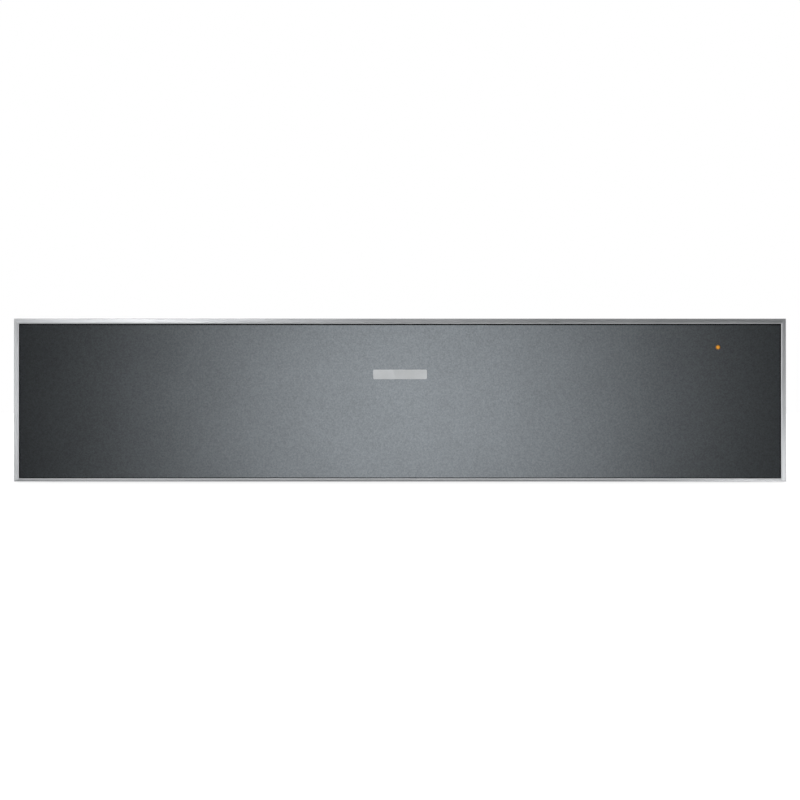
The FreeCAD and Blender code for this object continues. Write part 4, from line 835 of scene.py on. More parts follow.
@dataclass(frozen=True)
class CoilSpring:
    """A compression spring of round wire, coiled along Y, its sizes in metres."""

    title: str
    middle: Vector
    length: float
    radius: float
    wire: float
    turns: int = 6
    steps_per_turn: int = 32
    sides: int = 10

    def build(self) -> bpy.types.Object:
        """Sweeps the wire's section along the coil.

        Returns:
            The spring's object.
        """
        steps = self.turns * self.steps_per_turn
        reach = self.length - 2 * self.wire
        section = [math.tau * n / self.sides for n in range(self.sides)]
        rings: list[list[Vector]] = []
        for step in range(steps + 1):
            angle = math.tau * step / self.steps_per_turn
            outward = Vector((math.cos(angle), 0.0, math.sin(angle)))
            centre = self.middle + outward * (self.radius - self.wire)
            centre.y += reach * (step / steps - 0.5)
            spokes = [outward * math.cos(a) + Vector((0.0, math.sin(a), 0.0)) for a in section]
            rings.append([centre + spoke * self.wire for spoke in spokes])
        first, last = ([sum(ring, Vector()) / self.sides] for ring in (rings[0], rings[-1]))
        return stacked_rings(self.title, [first, *rings, last])


def carried(piece: bpy.types.Object, finish: Finish, body: str) -> None:
    """Lets a finished piece ride on a body, and reports it with what it is made of.

    Args:
        piece: The finished piece.
        finish: What the piece is made of.
        body: Name of the body that carries it.
    """
    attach(piece, body)
    LOG.info("%s: %d faces of %s on %s", piece.name, len(piece.data.polygons), finish.title, body)


# ---------------------------------------------------------------- repeated shapes
class Socket(Enum):
    """Kinds of input that the repeating trees take."""

    GEOMETRY = "NodeSocketGeometry"
    OBJECT = "NodeSocketObject"
    MATERIAL = "NodeSocketMaterial"
    FLOAT = "NodeSocketFloat"
    INTEGER = "NodeSocketInt"
    VECTOR = "NodeSocketVector"


class Repeater:
    """A Geometry Nodes tree that repeats a small shape and is then baked to a plain mesh."""

    title = "repeater"
    sockets: tuple[tuple[str, Socket], ...] = ()

    def tree(self) -> bpy.types.NodeTree:
        """Builds the tree the first time it is asked for.

        Returns:
            The tree, the same one each time.
        """
        if self.title in bpy.data.node_groups:
            return bpy.data.node_groups[self.title]
        made = bpy.data.node_groups.new(self.title, "GeometryNodeTree")
        for label, kind in (*self.sockets, ("Shape", Socket.OBJECT), ("Finish", Socket.MATERIAL)):
            made.interface.new_socket(label, in_out="INPUT", socket_type=kind.value)
        made.interface.new_socket("Geometry", in_out="OUTPUT", socket_type=Socket.GEOMETRY.value)
        given = add_node(made, "NodeGroupInput").outputs
        joined = add_node(made, "GeometryNodeRealizeInstances", {"Geometry": self.instances(made, given)})
        coated = {"Geometry": joined, "Material": given["Finish"]}
        dressed = add_node(made, "GeometryNodeSetMaterial", coated)
        add_node(made, "NodeGroupOutput", {"Geometry": dressed})
        return made

    def instances(self, tree: bpy.types.NodeTree, given: bpy.types.bpy_prop_collection) -> bpy.types.Node:
        """Places the shape. Each kind of repeater has its own rule.

        Args:
            tree: The Geometry Nodes tree.
            given: The tree's inputs.

        Returns:
            The node with the placed instances.
        """
        raise NotImplementedError

    def bake(
        self, title: str, carrier: bpy.types.Mesh, shape: bpy.types.Object, finish: Finish,
        values: dict[str, object], body: str,
    ) -> bpy.types.Object:
        """Runs the tree once and keeps the result as a plain mesh that rides on a body.

        Args:
            title: Name of the piece.
            carrier: Mesh that the modifier starts from.
            shape: The small shape, which is removed afterwards.
            finish: What the piece is made of.
            values: The tree's own inputs by name.
            body: Name of the body that carries the piece.

        Returns:
            The finished piece.
        """
        piece = bpy.data.objects.new(title, carrier)
        bpy.context.scene.collection.objects.link(piece)
        tree = self.tree()
        modifier = piece.modifiers.new(self.title, "NODES")
        modifier.node_group = tree
        given = {**values, "Shape": shape, "Finish": finish.material()}
        for item in tree.interface.items_tree:
            if item.in_out == "INPUT" and item.name in given:
                modifier[item.identifier] = given[item.name]
        depsgraph = bpy.context.evaluated_depsgraph_get()
        baked = bpy.data.meshes.new_from_object(piece.evaluated_get(depsgraph), depsgraph=depsgraph)
        piece.modifiers.clear()
        piece.data = baked
        baked.name = title
        bpy.data.objects.remove(shape)
        carried(piece, finish, body)
        return piece


class AtPlaces(Repeater):
    """Stands the shape on each given place, its Z axis along the place's facing."""

    title = "shape_at_places"
    sockets = (("Places", Socket.GEOMETRY), ("Turn Spread", Socket.FLOAT), ("Seed", Socket.INTEGER))

    def instances(self, tree: bpy.types.NodeTree, given: bpy.types.bpy_prop_collection) -> bpy.types.Node:
        """Reads each place's facing and turns each copy about it by a seeded amount.

        Args:
            tree: The Geometry Nodes tree.
            given: The tree's inputs.

        Returns:
            The node with the placed instances.
        """
        named = add_node(tree, "GeometryNodeInputNamedAttribute", {"Name": "facing"}, data_type="FLOAT_VECTOR")
        facing = {"Vector": named.outputs["Attribute"]}
        stood = add_node(tree, "FunctionNodeAlignRotationToVector", facing, axis="Z")
        spread = {2: 0.0, 3: given["Turn Spread"], "Seed": given["Seed"]}
        turn = add_node(tree, "FunctionNodeRandomValue", spread, data_type="FLOAT").outputs[1]
        about_z = {"Axis": (0.0, 0.0, 1.0), "Angle": turn}
        twist = add_node(tree, "FunctionNodeAxisAngleToRotation", about_z)
        both = {"Rotation": stood, "Rotate By": twist}
        turned = add_node(tree, "FunctionNodeRotateRotation", both, rotation_space="LOCAL")
        shape = add_node(tree, "GeometryNodeObjectInfo", {"Object": given["Shape"]}).outputs["Geometry"]
        placed = {"Points": given["Places"], "Instance": shape, "Rotation": turned}
        return add_node(tree, "GeometryNodeInstanceOnPoints", placed)

    def put(
        self, title: str, places: Sequence[Place], shape: bpy.types.Object, finish: Finish, body: str,
        turn_spread: float = math.tau, seed: int = 7,
    ) -> bpy.types.Object:
        """Puts the shape on every place.

        Args:
            title: Name of the piece.
            places: Points in metres and the directions that the shape stands along.
            shape: The small shape.
            finish: What the piece is made of.
            body: Name of the body that carries the piece.
            turn_spread: Most that a copy is turned about its own axis, in radians.
            seed: Seed of the turns.

        Returns:
            The finished piece.
        """
        carrier = bpy.data.meshes.new(title)
        carrier.from_pydata([tuple(point) for point, _ in places], [], [])
        facing = carrier.attributes.new("facing", "FLOAT_VECTOR", "POINT")
        for entry, (_, direction) in zip(facing.data, places):
            entry.vector = direction
        values = {"Turn Spread": turn_spread, "Seed": seed}
        return self.bake(title, carrier, shape, finish, values, body)


class StaggeredGrid(Repeater):
    """Repeats the shape on a level grid whose every second row is shifted by half a pitch."""

    title = "staggered_grid"
    sockets = (
        ("Carrier", Socket.GEOMETRY), ("Centre", Socket.VECTOR), ("Columns", Socket.INTEGER),
        ("Rows", Socket.INTEGER), ("Column Pitch", Socket.FLOAT), ("Row Pitch", Socket.FLOAT),
    )

    def instances(self, tree: bpy.types.NodeTree, given: bpy.types.bpy_prop_collection) -> bpy.types.Node:
        """Makes the grid and shifts its odd rows.

        Args:
            tree: The Geometry Nodes tree.
            given: The tree's inputs.

        Returns:
            The node with the placed instances.
        """
        found = {name: given[name] for name in ("Columns", "Rows", "Column Pitch", "Row Pitch")}
        found["number"] = add_node(tree, "GeometryNodeInputIndex")
        for name, operation, first, second in (
            ("gaps x", "SUBTRACT", "Columns", 1.0),
            ("gaps y", "SUBTRACT", "Rows", 1.0),
            ("size x", "MULTIPLY", "gaps x", "Column Pitch"),
            ("size y", "MULTIPLY", "gaps y", "Row Pitch"),
            ("row", "FLOORED_MODULO", "number", "Rows"),
            ("odd", "FLOORED_MODULO", "row", 2.0),
            ("side", "SUBTRACT", "odd", 0.5),
            ("half", "MULTIPLY", "Column Pitch", 0.5),
            ("shift", "MULTIPLY", "side", "half"),
        ):
            inputs = {0: found[first], 1: found.get(second, second)}
            found[name] = add_node(tree, "ShaderNodeMath", inputs, operation=operation)
        counts = {"Vertices X": given["Columns"], "Vertices Y": given["Rows"]}
        size = {"Size X": found["size x"], "Size Y": found["size y"]}
        grid = add_node(tree, "GeometryNodeMeshGrid", {**size, **counts})
        sideways = add_node(tree, "ShaderNodeCombineXYZ", {0: found["shift"]})
        offset = add_node(tree, "ShaderNodeVectorMath", {0: sideways, 1: given["Centre"]}, operation="ADD")
        moved = add_node(tree, "GeometryNodeSetPosition", {"Geometry": grid, "Offset": offset})
        shape = add_node(tree, "GeometryNodeObjectInfo", {"Object": given["Shape"]}).outputs["Geometry"]
        return add_node(tree, "GeometryNodeInstanceOnPoints", {"Points": moved, "Instance": shape})


class DialScale(Repeater):
    """Repeats a stroke round an arc in the XZ plane, each stroke longer than the one before."""

    title = "dial_scale"
    sockets = (
        ("Carrier", Socket.GEOMETRY), ("Centre", Socket.VECTOR), ("Strokes", Socket.INTEGER),
        ("Radius", Socket.FLOAT), ("First Angle", Socket.FLOAT), ("Step Angle", Socket.FLOAT),
        ("Growth", Socket.FLOAT),
    )

    def instances(self, tree: bpy.types.NodeTree, given: bpy.types.bpy_prop_collection) -> bpy.types.Node:
        """Works out each stroke's angle, place, turn and length from its number.

        Args:
            tree: The Geometry Nodes tree.
            given: The tree's inputs.

        Returns:
            The node with the placed instances.
        """
        number = add_node(tree, "GeometryNodeInputIndex")
        steps = {0: number, 1: given["Step Angle"], 2: given["First Angle"]}
        angle = add_node(tree, "ShaderNodeMath", steps, operation="MULTIPLY_ADD")
        level = add_node(tree, "ShaderNodeMath", {0: angle}, operation="COSINE")
        upright = add_node(tree, "ShaderNodeMath", {0: angle}, operation="SINE")
        outward = add_node(tree, "ShaderNodeCombineXYZ", {0: level, 2: upright})
        radius = {0: outward, "Scale": given["Radius"]}
        reach = add_node(tree, "ShaderNodeVectorMath", radius, operation="SCALE")
        spot = add_node(tree, "ShaderNodeVectorMath", {0: reach, 1: given["Centre"]}, operation="ADD")
        run = {"Count": given["Strokes"], "Offset": (0.0, 0.0, 0.0)}
        line = add_node(tree, "GeometryNodeMeshLine", run)
        moved = add_node(tree, "GeometryNodeSetPosition", {"Geometry": line, "Position": spot})
        turn = add_node(tree, "ShaderNodeMath", {0: angle, 1: -1.0}, operation="MULTIPLY")
        about_y = {"Axis": (0.0, 1.0, 0.0), "Angle": turn}
        turned = add_node(tree, "FunctionNodeAxisAngleToRotation", about_y)
        growth = {0: number, 1: given["Growth"], 2: 1.0}
        length = add_node(tree, "ShaderNodeMath", growth, operation="MULTIPLY_ADD")
        size = add_node(tree, "ShaderNodeCombineXYZ", {0: length, 1: 1.0, 2: 1.0})
        shape = add_node(tree, "GeometryNodeObjectInfo", {"Object": given["Shape"]}).outputs["Geometry"]
        placed = {"Points": moved, "Instance": shape, "Rotation": turned, "Scale": size}
        return add_node(tree, "GeometryNodeInstanceOnPoints", placed)


# ---------------------------------------------------------------- sub-assemblies
@dataclass
class SubAssembly:
    """Pieces of the appliance that are bought or built as one unit."""

    nodes: dict[str, bpy.types.Object]

    def dress(self, finish: Finish, *names: str) -> None:
        """Gives CAD nodes their material.

        Args:
            finish: What the nodes are made of.
            *names: The nodes' names.
        """
        for name in names:
            node = self.nodes[name]
            if not node.material_slots:
                node.data.materials.append(None)
            for slot in node.material_slots:
                slot.material = finish.material()
            LOG.info("%s: %s", name, finish.title)

    def build(self) -> None:
        """Builds and dresses the unit."""
        raise NotImplementedError


@dataclass
class GlassFront(SubAssembly):
    """The framed pane with its seal, carrier, insulation, inner panel, light pipe and blank plate."""

    front_half: float = 297.0
    panel_back: float = -259.0
    screw_inset: float = 9.0
    screw_heights: tuple[float, ...] = (14.0, 63.7, 113.4)
    screw_radius: float = 2.6
    screw_proud: float = 0.3

    def build(self) -> None:
        """Dresses the front and sets the flush screws that close it from behind."""
        self.dress(Finishes.PANE, "front_glass")
        self.dress(Finishes.FRAME_LENGTHWISE, "frame_top", "frame_bottom")
        self.dress(Finishes.FRAME_UPRIGHT, "frame_left", "frame_right")
        self.dress(Finishes.SEAL, "glass_seal")
        self.dress(Finishes.ZINC, "carrier_plate")
        self.dress(Finishes.WOOL, "front_insulation")
        self.dress(Finishes.STAINLESS, "inner_front_panel")
        self.dress(Finishes.LENS, "lamp_light_pipe")
        self.dress(Finishes.PLATE, "badge_plate")
        self.closing_screws()

    def closing_screws(self) -> None:
        """Sets countersunk screws along both ends of the inner panel."""
        radius, proud = self.screw_radius, self.screw_proud
        walls = ((radius * 0.36, proud - 0.2, LOBE), (radius * 0.40, proud * 0.9, LOBE))
        recess = ((0.0, proud - 0.25, 0.0), *walls)
        rim = ((radius * 0.92, proud, 0.0), (radius, proud * 0.4, 0.0), (radius, 0.0, 0.0), (0.0, 0.0, 0.0))
        head = TurnedShape("countersunk_head", (*recess, *rim)).build()
        places = [
            (Vector((side * (self.front_half - self.screw_inset), self.panel_back, z)) * MM, Vector((0, 1, 0)))
            for side in (-1, 1)
            for z in self.screw_heights
        ]
        AtPlaces().put("inner_panel_screws", places, head, Finishes.SCREW, "drawer")


@dataclass
class HeatedDrawer(SubAssembly):
    """The stainless tub with its base glass, its anti-slip mat and the brackets to the front."""

    pip_radius: float = 1.7
    pip_rise: float = 0.35
    pip_sides: int = 8
    column_pitch: float = 8.0
    row_pitch: float = 7.0
    mat_border: float = 6.0

    def build(self) -> None:
        """Dresses the drawer, then adds the mat's pips and the bracket screws."""
        self.dress(Finishes.STAINLESS_SIDES, "tub_side_left", "tub_side_right")
        self.dress(Finishes.STAINLESS, "tub_rear_wall", "tub_base")
        self.dress(Finishes.BASE_GLASS, "glass_base_plate")
        self.dress(Finishes.MAT, "anti_slip_mat")
        self.dress(Finishes.ZINC, "front_brackets")
        self.mat_pips()
        self.bracket_screws()

    def mat_pips(self) -> None:
        """Covers the mat with low round pips in staggered rows."""
        low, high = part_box("anti_slip_mat")
        crown = ((0.0, self.pip_rise, 0.0), (self.pip_radius * 0.62, self.pip_rise * 0.8, 0.0))
        pip = TurnedShape("mat_pip", (*crown, (self.pip_radius, 0.0, 0.0), (0.0, -0.05, 0.0)), self.pip_sides)
        width, depth = (high.x - low.x) / MM - 2 * self.mat_border, (high.y - low.y) / MM - 2 * self.mat_border
        values = {
            "Centre": ((low.x + high.x) / 2, (low.y + high.y) / 2, high.z),
            "Columns": int(width / self.column_pitch),
            "Rows": int(depth / self.row_pitch) + 1,
            "Column Pitch": self.column_pitch * MM,
            "Row Pitch": self.row_pitch * MM,
        }
        carrier = bpy.data.meshes.new("mat_pips")
        StaggeredGrid().bake("mat_pips", carrier, pip.build(), Finishes.MAT, values, "drawer")

    def bracket_screws(self) -> None:
        """Replaces the plain bracket screws with recessed ones, heads towards the drawer's inside."""
        screw = PanHeadScrew("bracket_screw")
        places = []
        for low, high in solids_of(self.nodes["drawer_screws"]):
            middle = (low + high) / 2
            inward = Vector((-math.copysign(1, middle.x), 0, 0))
            seat = (high.x if middle.x < 0 else low.x) + (-inward.x) * screw.rise_mm * MM
            places.append((Vector((seat, middle.y, middle.z)), inward))
        piece = AtPlaces().put("drawer_bracket_screws", places, screw.build(), Finishes.SCREW, "drawer")
        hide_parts("drawer_screws")


@dataclass
class TelescopicRails(SubAssembly):
    """Three-part rails on both sides with their ball cages."""

    rivet_radius: float = 2.2
    rivet_rise: float = 0.5
    rivet_sides: int = 20
    rivet_places: tuple[float, ...] = (-225.0, -110.0, 5.0, 120.0)
    outer_web_inside: float = 272.8
    rail_middle: float = 58.35

    def build(self) -> None:
        """Dresses the rails and adds the rivets that hold the outer rails to the casing."""
        for side in ("left", "right"):
            self.dress(Finishes.RAIL, f"rail_outer_{side}", f"rail_middle_{side}", f"rail_inner_{side}")
            self.dress(Finishes.CAGE, f"ball_cage_outer_{side}", f"ball_cage_inner_{side}")
        self.rail_rivets()

    def rail_rivets(self) -> None:
        """Sets flat rivet heads on the inside of each outer rail's web."""
        radius, rise = self.rivet_radius, self.rivet_rise
        crown = ((0.0, rise, 0.0), (radius * 0.7, rise * 0.95, 0.0), (radius, rise * 0.4, 0.0))
        steps = (*crown, (radius, 0.0, 0.0), (0.0, 0.0, 0.0))
        rivet = TurnedShape("rail_rivet", steps, self.rivet_sides).build()
        places = [
            (Vector((side * self.outer_web_inside, y, self.rail_middle)) * MM, Vector((-side, 0, 0)))
            for side in (-1, 1)
            for y in self.rivet_places
        ]
        AtPlaces().put("rail_rivets", places, rivet, Finishes.SCREW, "casing")


@dataclass
class Controls(SubAssembly):
    """The header behind the front with its knob, button and lamp, and the board behind it."""

    face: float = -239.0
    ink: float = 0.06
    knob_x: float = 178.7
    knob_z: float = 111.0
    knob_face: float = -251.8
    pointer_depth: float = 0.8
    pointer_width: float = 1.3
    pointer_reach: tuple[float, float] = (3.6, 9.2)
    scale_radius: float = 11.0
    stroke_length: float = 0.45
    stroke_width: float = 0.5
    strokes: int = 9
    growth: float = 0.12
    figure_height: float = 3.4
    body_per_figure: float = 1.4
    figure_offset: float = 14.6
    figure_drop: float = 1.2
    mark_x: float = 200.2
    mark_radius: float = 1.9
    mark_line: float = 0.2
    mark_gap_degrees: int = 35
    mark_step_degrees: int = 10
    mark_bar: tuple[float, float] = (0.6, 1.25)
    screw_x: tuple[float, ...] = (-250.0, 0.0, 262.0)
    screw_radius: float = 2.2
    screw_sides: int = 24

    def build(self) -> None:
        """Dresses the controls and prints the header."""
        self.dress(Finishes.STAINLESS, "control_header")
        self.dress(Finishes.BLACK_PLASTIC, "selector_knob", "power_button", "rotary_switch", "push_switch")
        self.dress(Finishes.LED, "indicator_led")
        self.dress(Finishes.HEADER_BOARD, "control_board")
        self.pointer_paint()
        self.dial_strokes()
        self.figure("dial_figure_zero", "0", -self.figure_offset)
        self.figure("dial_figure_four", "4", self.figure_offset)
        self.on_off_mark()
        self.header_screws()

    def pointer_paint(self) -> None:
        """Paints the floor of the knob's pointer groove, which points at off to begin with."""
        inner, outer = self.pointer_reach
        floor = self.knob_face + self.pointer_depth
        middle = Vector((self.knob_x - (inner + outer) / 2, floor - self.ink / 2, self.knob_z))
        paint = flat_bar("knob_pointer_paint", Vector((outer - inner, self.ink, self.pointer_width)), middle)
        paint.data.materials.append(Finishes.POINTER_PAINT.material())
        carried(paint, Finishes.POINTER_PAINT, "selector_knob")

    def dial_strokes(self) -> None:
        """Prints a rising scale round the knob, from off to the hottest setting."""
        size = Vector((self.stroke_length, self.ink, self.stroke_width))
        stroke = flat_bar("dial_stroke", size, Vector((self.stroke_length / 2, -self.ink / 2, 0)))
        values = {
            "Centre": (self.knob_x * MM, self.face * MM, self.knob_z * MM),
            "Strokes": self.strokes,
            "Radius": self.scale_radius * MM,
            "First Angle": math.pi,
            "Step Angle": -math.pi / (self.strokes - 1),
            "Growth": self.growth,
        }
        carrier = bpy.data.meshes.new("dial_strokes")
        DialScale().bake("dial_strokes", carrier, stroke, Finishes.INK, values, "casing")

    def printed(self, title: str, drawing: bpy.types.Curve, x: float, z: float) -> None:
        """Stands a flat drawing up on the header's face and prints it there.

        Args:
            title: Name of the piece.
            drawing: Curve or text in the XY plane.
            x: Middle of the print across the header, in millimetres.
            z: Middle of the print above the floor, in millimetres.
        """
        flat = bpy.data.objects.new(title + "_flat", drawing)
        bpy.context.scene.collection.objects.link(flat)
        depsgraph = bpy.context.evaluated_depsgraph_get()
        mesh = bpy.data.meshes.new_from_object(flat.evaluated_get(depsgraph), depsgraph=depsgraph)
        bpy.data.objects.remove(flat)
        mesh.transform(Matrix.Translation(-middle_of_box(mesh)))
        mesh.transform(Matrix.Rotation(QUARTER_TURN, 4, "X"))
        mesh.transform(Matrix.Translation(Vector((x, self.face - self.ink / 2, z)) * MM))
        mesh.materials.clear()
        mesh.materials.append(Finishes.INK.material())
        piece = bpy.data.objects.new(title, mesh)
        bpy.context.scene.collection.objects.link(piece)
        carried(piece, Finishes.INK, "casing")

    def figure(self, title: str, digit: str, offset: float) -> None:
        """Prints one figure beside the knob.

        Args:
            title: Name of the piece.
            digit: The figure.
            offset: Its distance from the knob's axis, in millimetres.
        """
        text = bpy.data.curves.new(title, "FONT")
        text.body = digit
        text.size = self.figure_height * self.body_per_figure * MM
        text.extrude = self.ink / 2 * MM
        text.resolution_u = 6
        self.printed(title, text, self.knob_x + offset, self.knob_z - self.figure_drop)

    def on_off_mark(self) -> None:
        """Prints the common on-off sign, an open ring with a bar, beside the button."""
        sign = bpy.data.curves.new("on_off_mark", "CURVE")
        sign.dimensions = "3D"
        sign.bevel_depth = self.mark_line * MM
        sign.bevel_resolution = 1
        sign.use_fill_caps = True
        radius = self.mark_radius
        turns = range(self.mark_gap_degrees, 361 - self.mark_gap_degrees, self.mark_step_degrees)
        angles = [math.radians(degrees) for degrees in turns]
        arc = [(radius * math.sin(a) * MM, radius * math.cos(a) * MM) for a in angles]
        bar = [(0.0, share * radius * MM) for share in self.mark_bar]
        for run in (arc, bar):
            spline = sign.splines.new("POLY")
            spline.points.add(len(run) - 1)
            for point, (x, y) in zip(spline.points, run):
                point.co = (x, y, 0.0, 1.0)
        self.printed("on_off_mark", sign, self.mark_x, self.knob_z)

    def header_screws(self) -> None:
        """Sets low screws that hold the header to the casing."""
        radius = self.screw_radius
        recess = ((0.0, 0.15, 0.0), (radius * 0.36, 0.2, LOBE), (radius * 0.40, 0.7, LOBE))
        rim = ((radius * 0.8, 0.62, 0.0), (radius, 0.3, 0.0), (radius, 0.0, 0.0), (0.0, 0.0, 0.0))
        head = TurnedShape("header_screw", (*recess, *rim), self.screw_sides).build()
        places = [(Vector((x, self.face, self.knob_z)) * MM, Vector((0, -1, 0))) for x in self.screw_x]
        AtPlaces().put("header_screws", places, head, Finishes.SCREW, "casing")


@dataclass
class HeaterDeck(SubAssembly):
    """The heating element on its tray, over the insulation board."""

    def build(self) -> None:
        """Dresses the deck."""
        self.dress(Finishes.WOOL, "base_insulation")
        self.dress(Finishes.TRAY, "heater_tray")
        self.dress(Finishes.SHEATH, "heating_element")


@dataclass
class WarmAirAndSupply(SubAssembly):
    """The fan, its motor, the sensors and the supply behind the partition."""

    def build(self) -> None:
        """Dresses the unit."""
        self.dress(Finishes.GREY_PLASTIC, "fan_impeller", "terminal_block")
        self.dress(Finishes.MOTOR, "fan_motor")
        self.dress(Finishes.MODULE_BOARD, "power_module")
        self.dress(Finishes.BLACK_PLASTIC, "cord_gland")
        self.dress(Finishes.SENSOR, "thermal_cutout", "temperature_sensor")
        self.dress(Finishes.SLEEVE, "wiring_harness")


@dataclass
class PushLatch(SubAssembly):
    """The latch that holds the drawer shut and lets it go when the front is pushed."""

    wire: float = 0.5
    plunger_travel: float = 3.0

    def build(self) -> None:
        """Dresses the latch and gives it a coiled spring."""
        self.dress(Finishes.BLACK_PLASTIC, "latch_housing")
        self.dress(Finishes.GREY_PLASTIC, "latch_plunger", "latch_pawl")
        self.dress(Finishes.SENSOR, "latch_striker")
        self.spring()

    def spring(self) -> None:
        """Coils a spring in the place of the solid one."""
        low, high = (Vector(corner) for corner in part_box("latch_spring"))
        length = high.y - low.y
        middle = (low + high) / 2
        coil = CoilSpring("plunger_spring", middle, length, (high.x - low.x) / 2, self.wire * MM).build()
        coil.data.materials.append(Finishes.SPRING.material())
        carried(coil, Finishes.SPRING, "casing")
        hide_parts("latch_spring")
        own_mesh(coil)


@dataclass
class Casing(SubAssembly):
    """Zinc-coated pan, walls, cover and rear panel on four feet, with its screws, welds and beads."""

    wall_face: float = 275.0
    cover_top: float = 124.0
    rail_middle: float = TelescopicRails.rail_middle
    weld_radius: float = 3.4
    weld_rise: float = 0.18
    weld_sides: int = 24
    weld_offset: float = 11.0
    weld_places: tuple[float, ...] = TelescopicRails.rivet_places
    bead_length: float = 430.0
    bead_width: float = 14.0
    bead_rise: float = 1.6
    bead_places: tuple[float, ...] = (-150.0, -30.0, 90.0)

    def build(self) -> None:
        """Dresses the casing, then adds screws, spot welds and beads."""
        self.dress(Finishes.ZINC, "base_pan", "side_wall_left", "side_wall_right", "top_cover")
        self.dress(Finishes.ZINC, "rear_panel", "rear_partition")
        self.dress(Finishes.FOOT, "feet")
        self.wall_screws()
        self.spot_welds()
        self.cover_beads()

    def wall_screws(self) -> None:
        """Replaces the plain wall screws with recessed ones, heads outward."""
        places = []
        for low, high in solids_of(self.nodes["casing_screws"]):
            middle = (low + high) / 2
            outward = Vector((math.copysign(1, middle.x), 0, 0))
            places.append((Vector((outward.x * self.wall_face * MM, middle.y, middle.z)), outward))
        screw = PanHeadScrew("wall_screw").build()
        piece = AtPlaces().put("wall_screws", places, screw, Finishes.SCREW, "casing")
        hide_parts("casing_screws")

    def spot_welds(self) -> None:
        """Marks where the outer rails are welded to the walls."""
        radius = self.weld_radius
        dent = ((0.0, 0.04, 0.0), (radius * 0.55, 0.05, 0.0), (radius * 0.75, self.weld_rise, 0.0))
        steps = (*dent, (radius, 0.0, 0.0), (0.0, -0.02, 0.0))
        weld = TurnedShape("spot_weld", steps, self.weld_sides).build()
        places = [
            (Vector((side * self.wall_face, y, self.rail_middle + dz)) * MM, Vector((side, 0, 0)))
            for side in (-1, 1)
            for y in self.weld_places
            for dz in (-self.weld_offset, self.weld_offset)
        ]
        AtPlaces().put("rail_spot_welds", places, weld, Finishes.ZINC, "casing", seed=11)

    def cover_beads(self) -> None:
        """Adds the long pressed beads that stiffen the cover."""
        bead = LongBead("cover_bead", self.bead_length, self.bead_width, self.bead_rise).build()
        places = [(Vector((0, y, self.cover_top)) * MM, Vector((0, 0, 1))) for y in self.bead_places]
        AtPlaces().put("cover_beads", places, bead, Finishes.ZINC, "casing", turn_spread=0.0)


# ---------------------------------------------------------------- studio
class LampShape(Enum):
    """Outlines that a soft lamp can have."""

    DISK = "DISK"
    RECTANGLE = "RECTANGLE"


def soft_lamp(
    title: str, shape: LampShape, size: tuple[float, float], power: float, place: tuple[float, float, float],
    turn: Euler,
) -> bpy.types.Object:
    """Hangs an area lamp that the camera doesn't see.

    Args:
        title: The lamp's name.
        shape: Its outline.
        size: Its width and height in metres, the same for a disk.
        power: Its power in watts.
        place: Where it hangs, in metres.
        turn: Which way it is turned.

    Returns:
        The lamp's object.
    """
    lamp = bpy.data.lights.new(title, "AREA")
    lamp.shape = shape.value
    lamp.size, lamp.size_y = size
    lamp.energy = power
    stand = bpy.data.objects.new(title, lamp)
    stand.location, stand.rotation_euler = place, turn
    stand.visible_camera = False
    bpy.context.scene.collection.objects.link(stand)
    return stand


def aimed(place: tuple[float, float, float], aim: tuple[float, float, float]) -> Euler:
    """Gives the turn that points a lamp at one place from another."""
    return (Vector(aim) - Vector(place)).to_track_quat("-Z", "Y").to_euler()


@dataclass(frozen=True)
class AccentLamp:
    """A small soft lamp beside the front that lights only the frame bars it is meant for."""

    title: str
    bars: tuple[str, ...]
    place: tuple[float, float, float]
    aim: tuple[float, float, float]
    size: tuple[float, float]
    power: float

    def hang(self, nodes: dict[str, bpy.types.Object]) -> None:
        """Hangs the lamp.

        Args:
            nodes: Every piece of the frame by its name.
        """
        receivers = bpy.data.collections.new(self.title)
        for name in self.bars:
            receivers.objects.link(nodes[name])
        turn = aimed(self.place, self.aim)
        stand = soft_lamp(self.title, LampShape.RECTANGLE, self.size, self.power, self.place, turn)
        stand.light_linking.receiver_collection = receivers


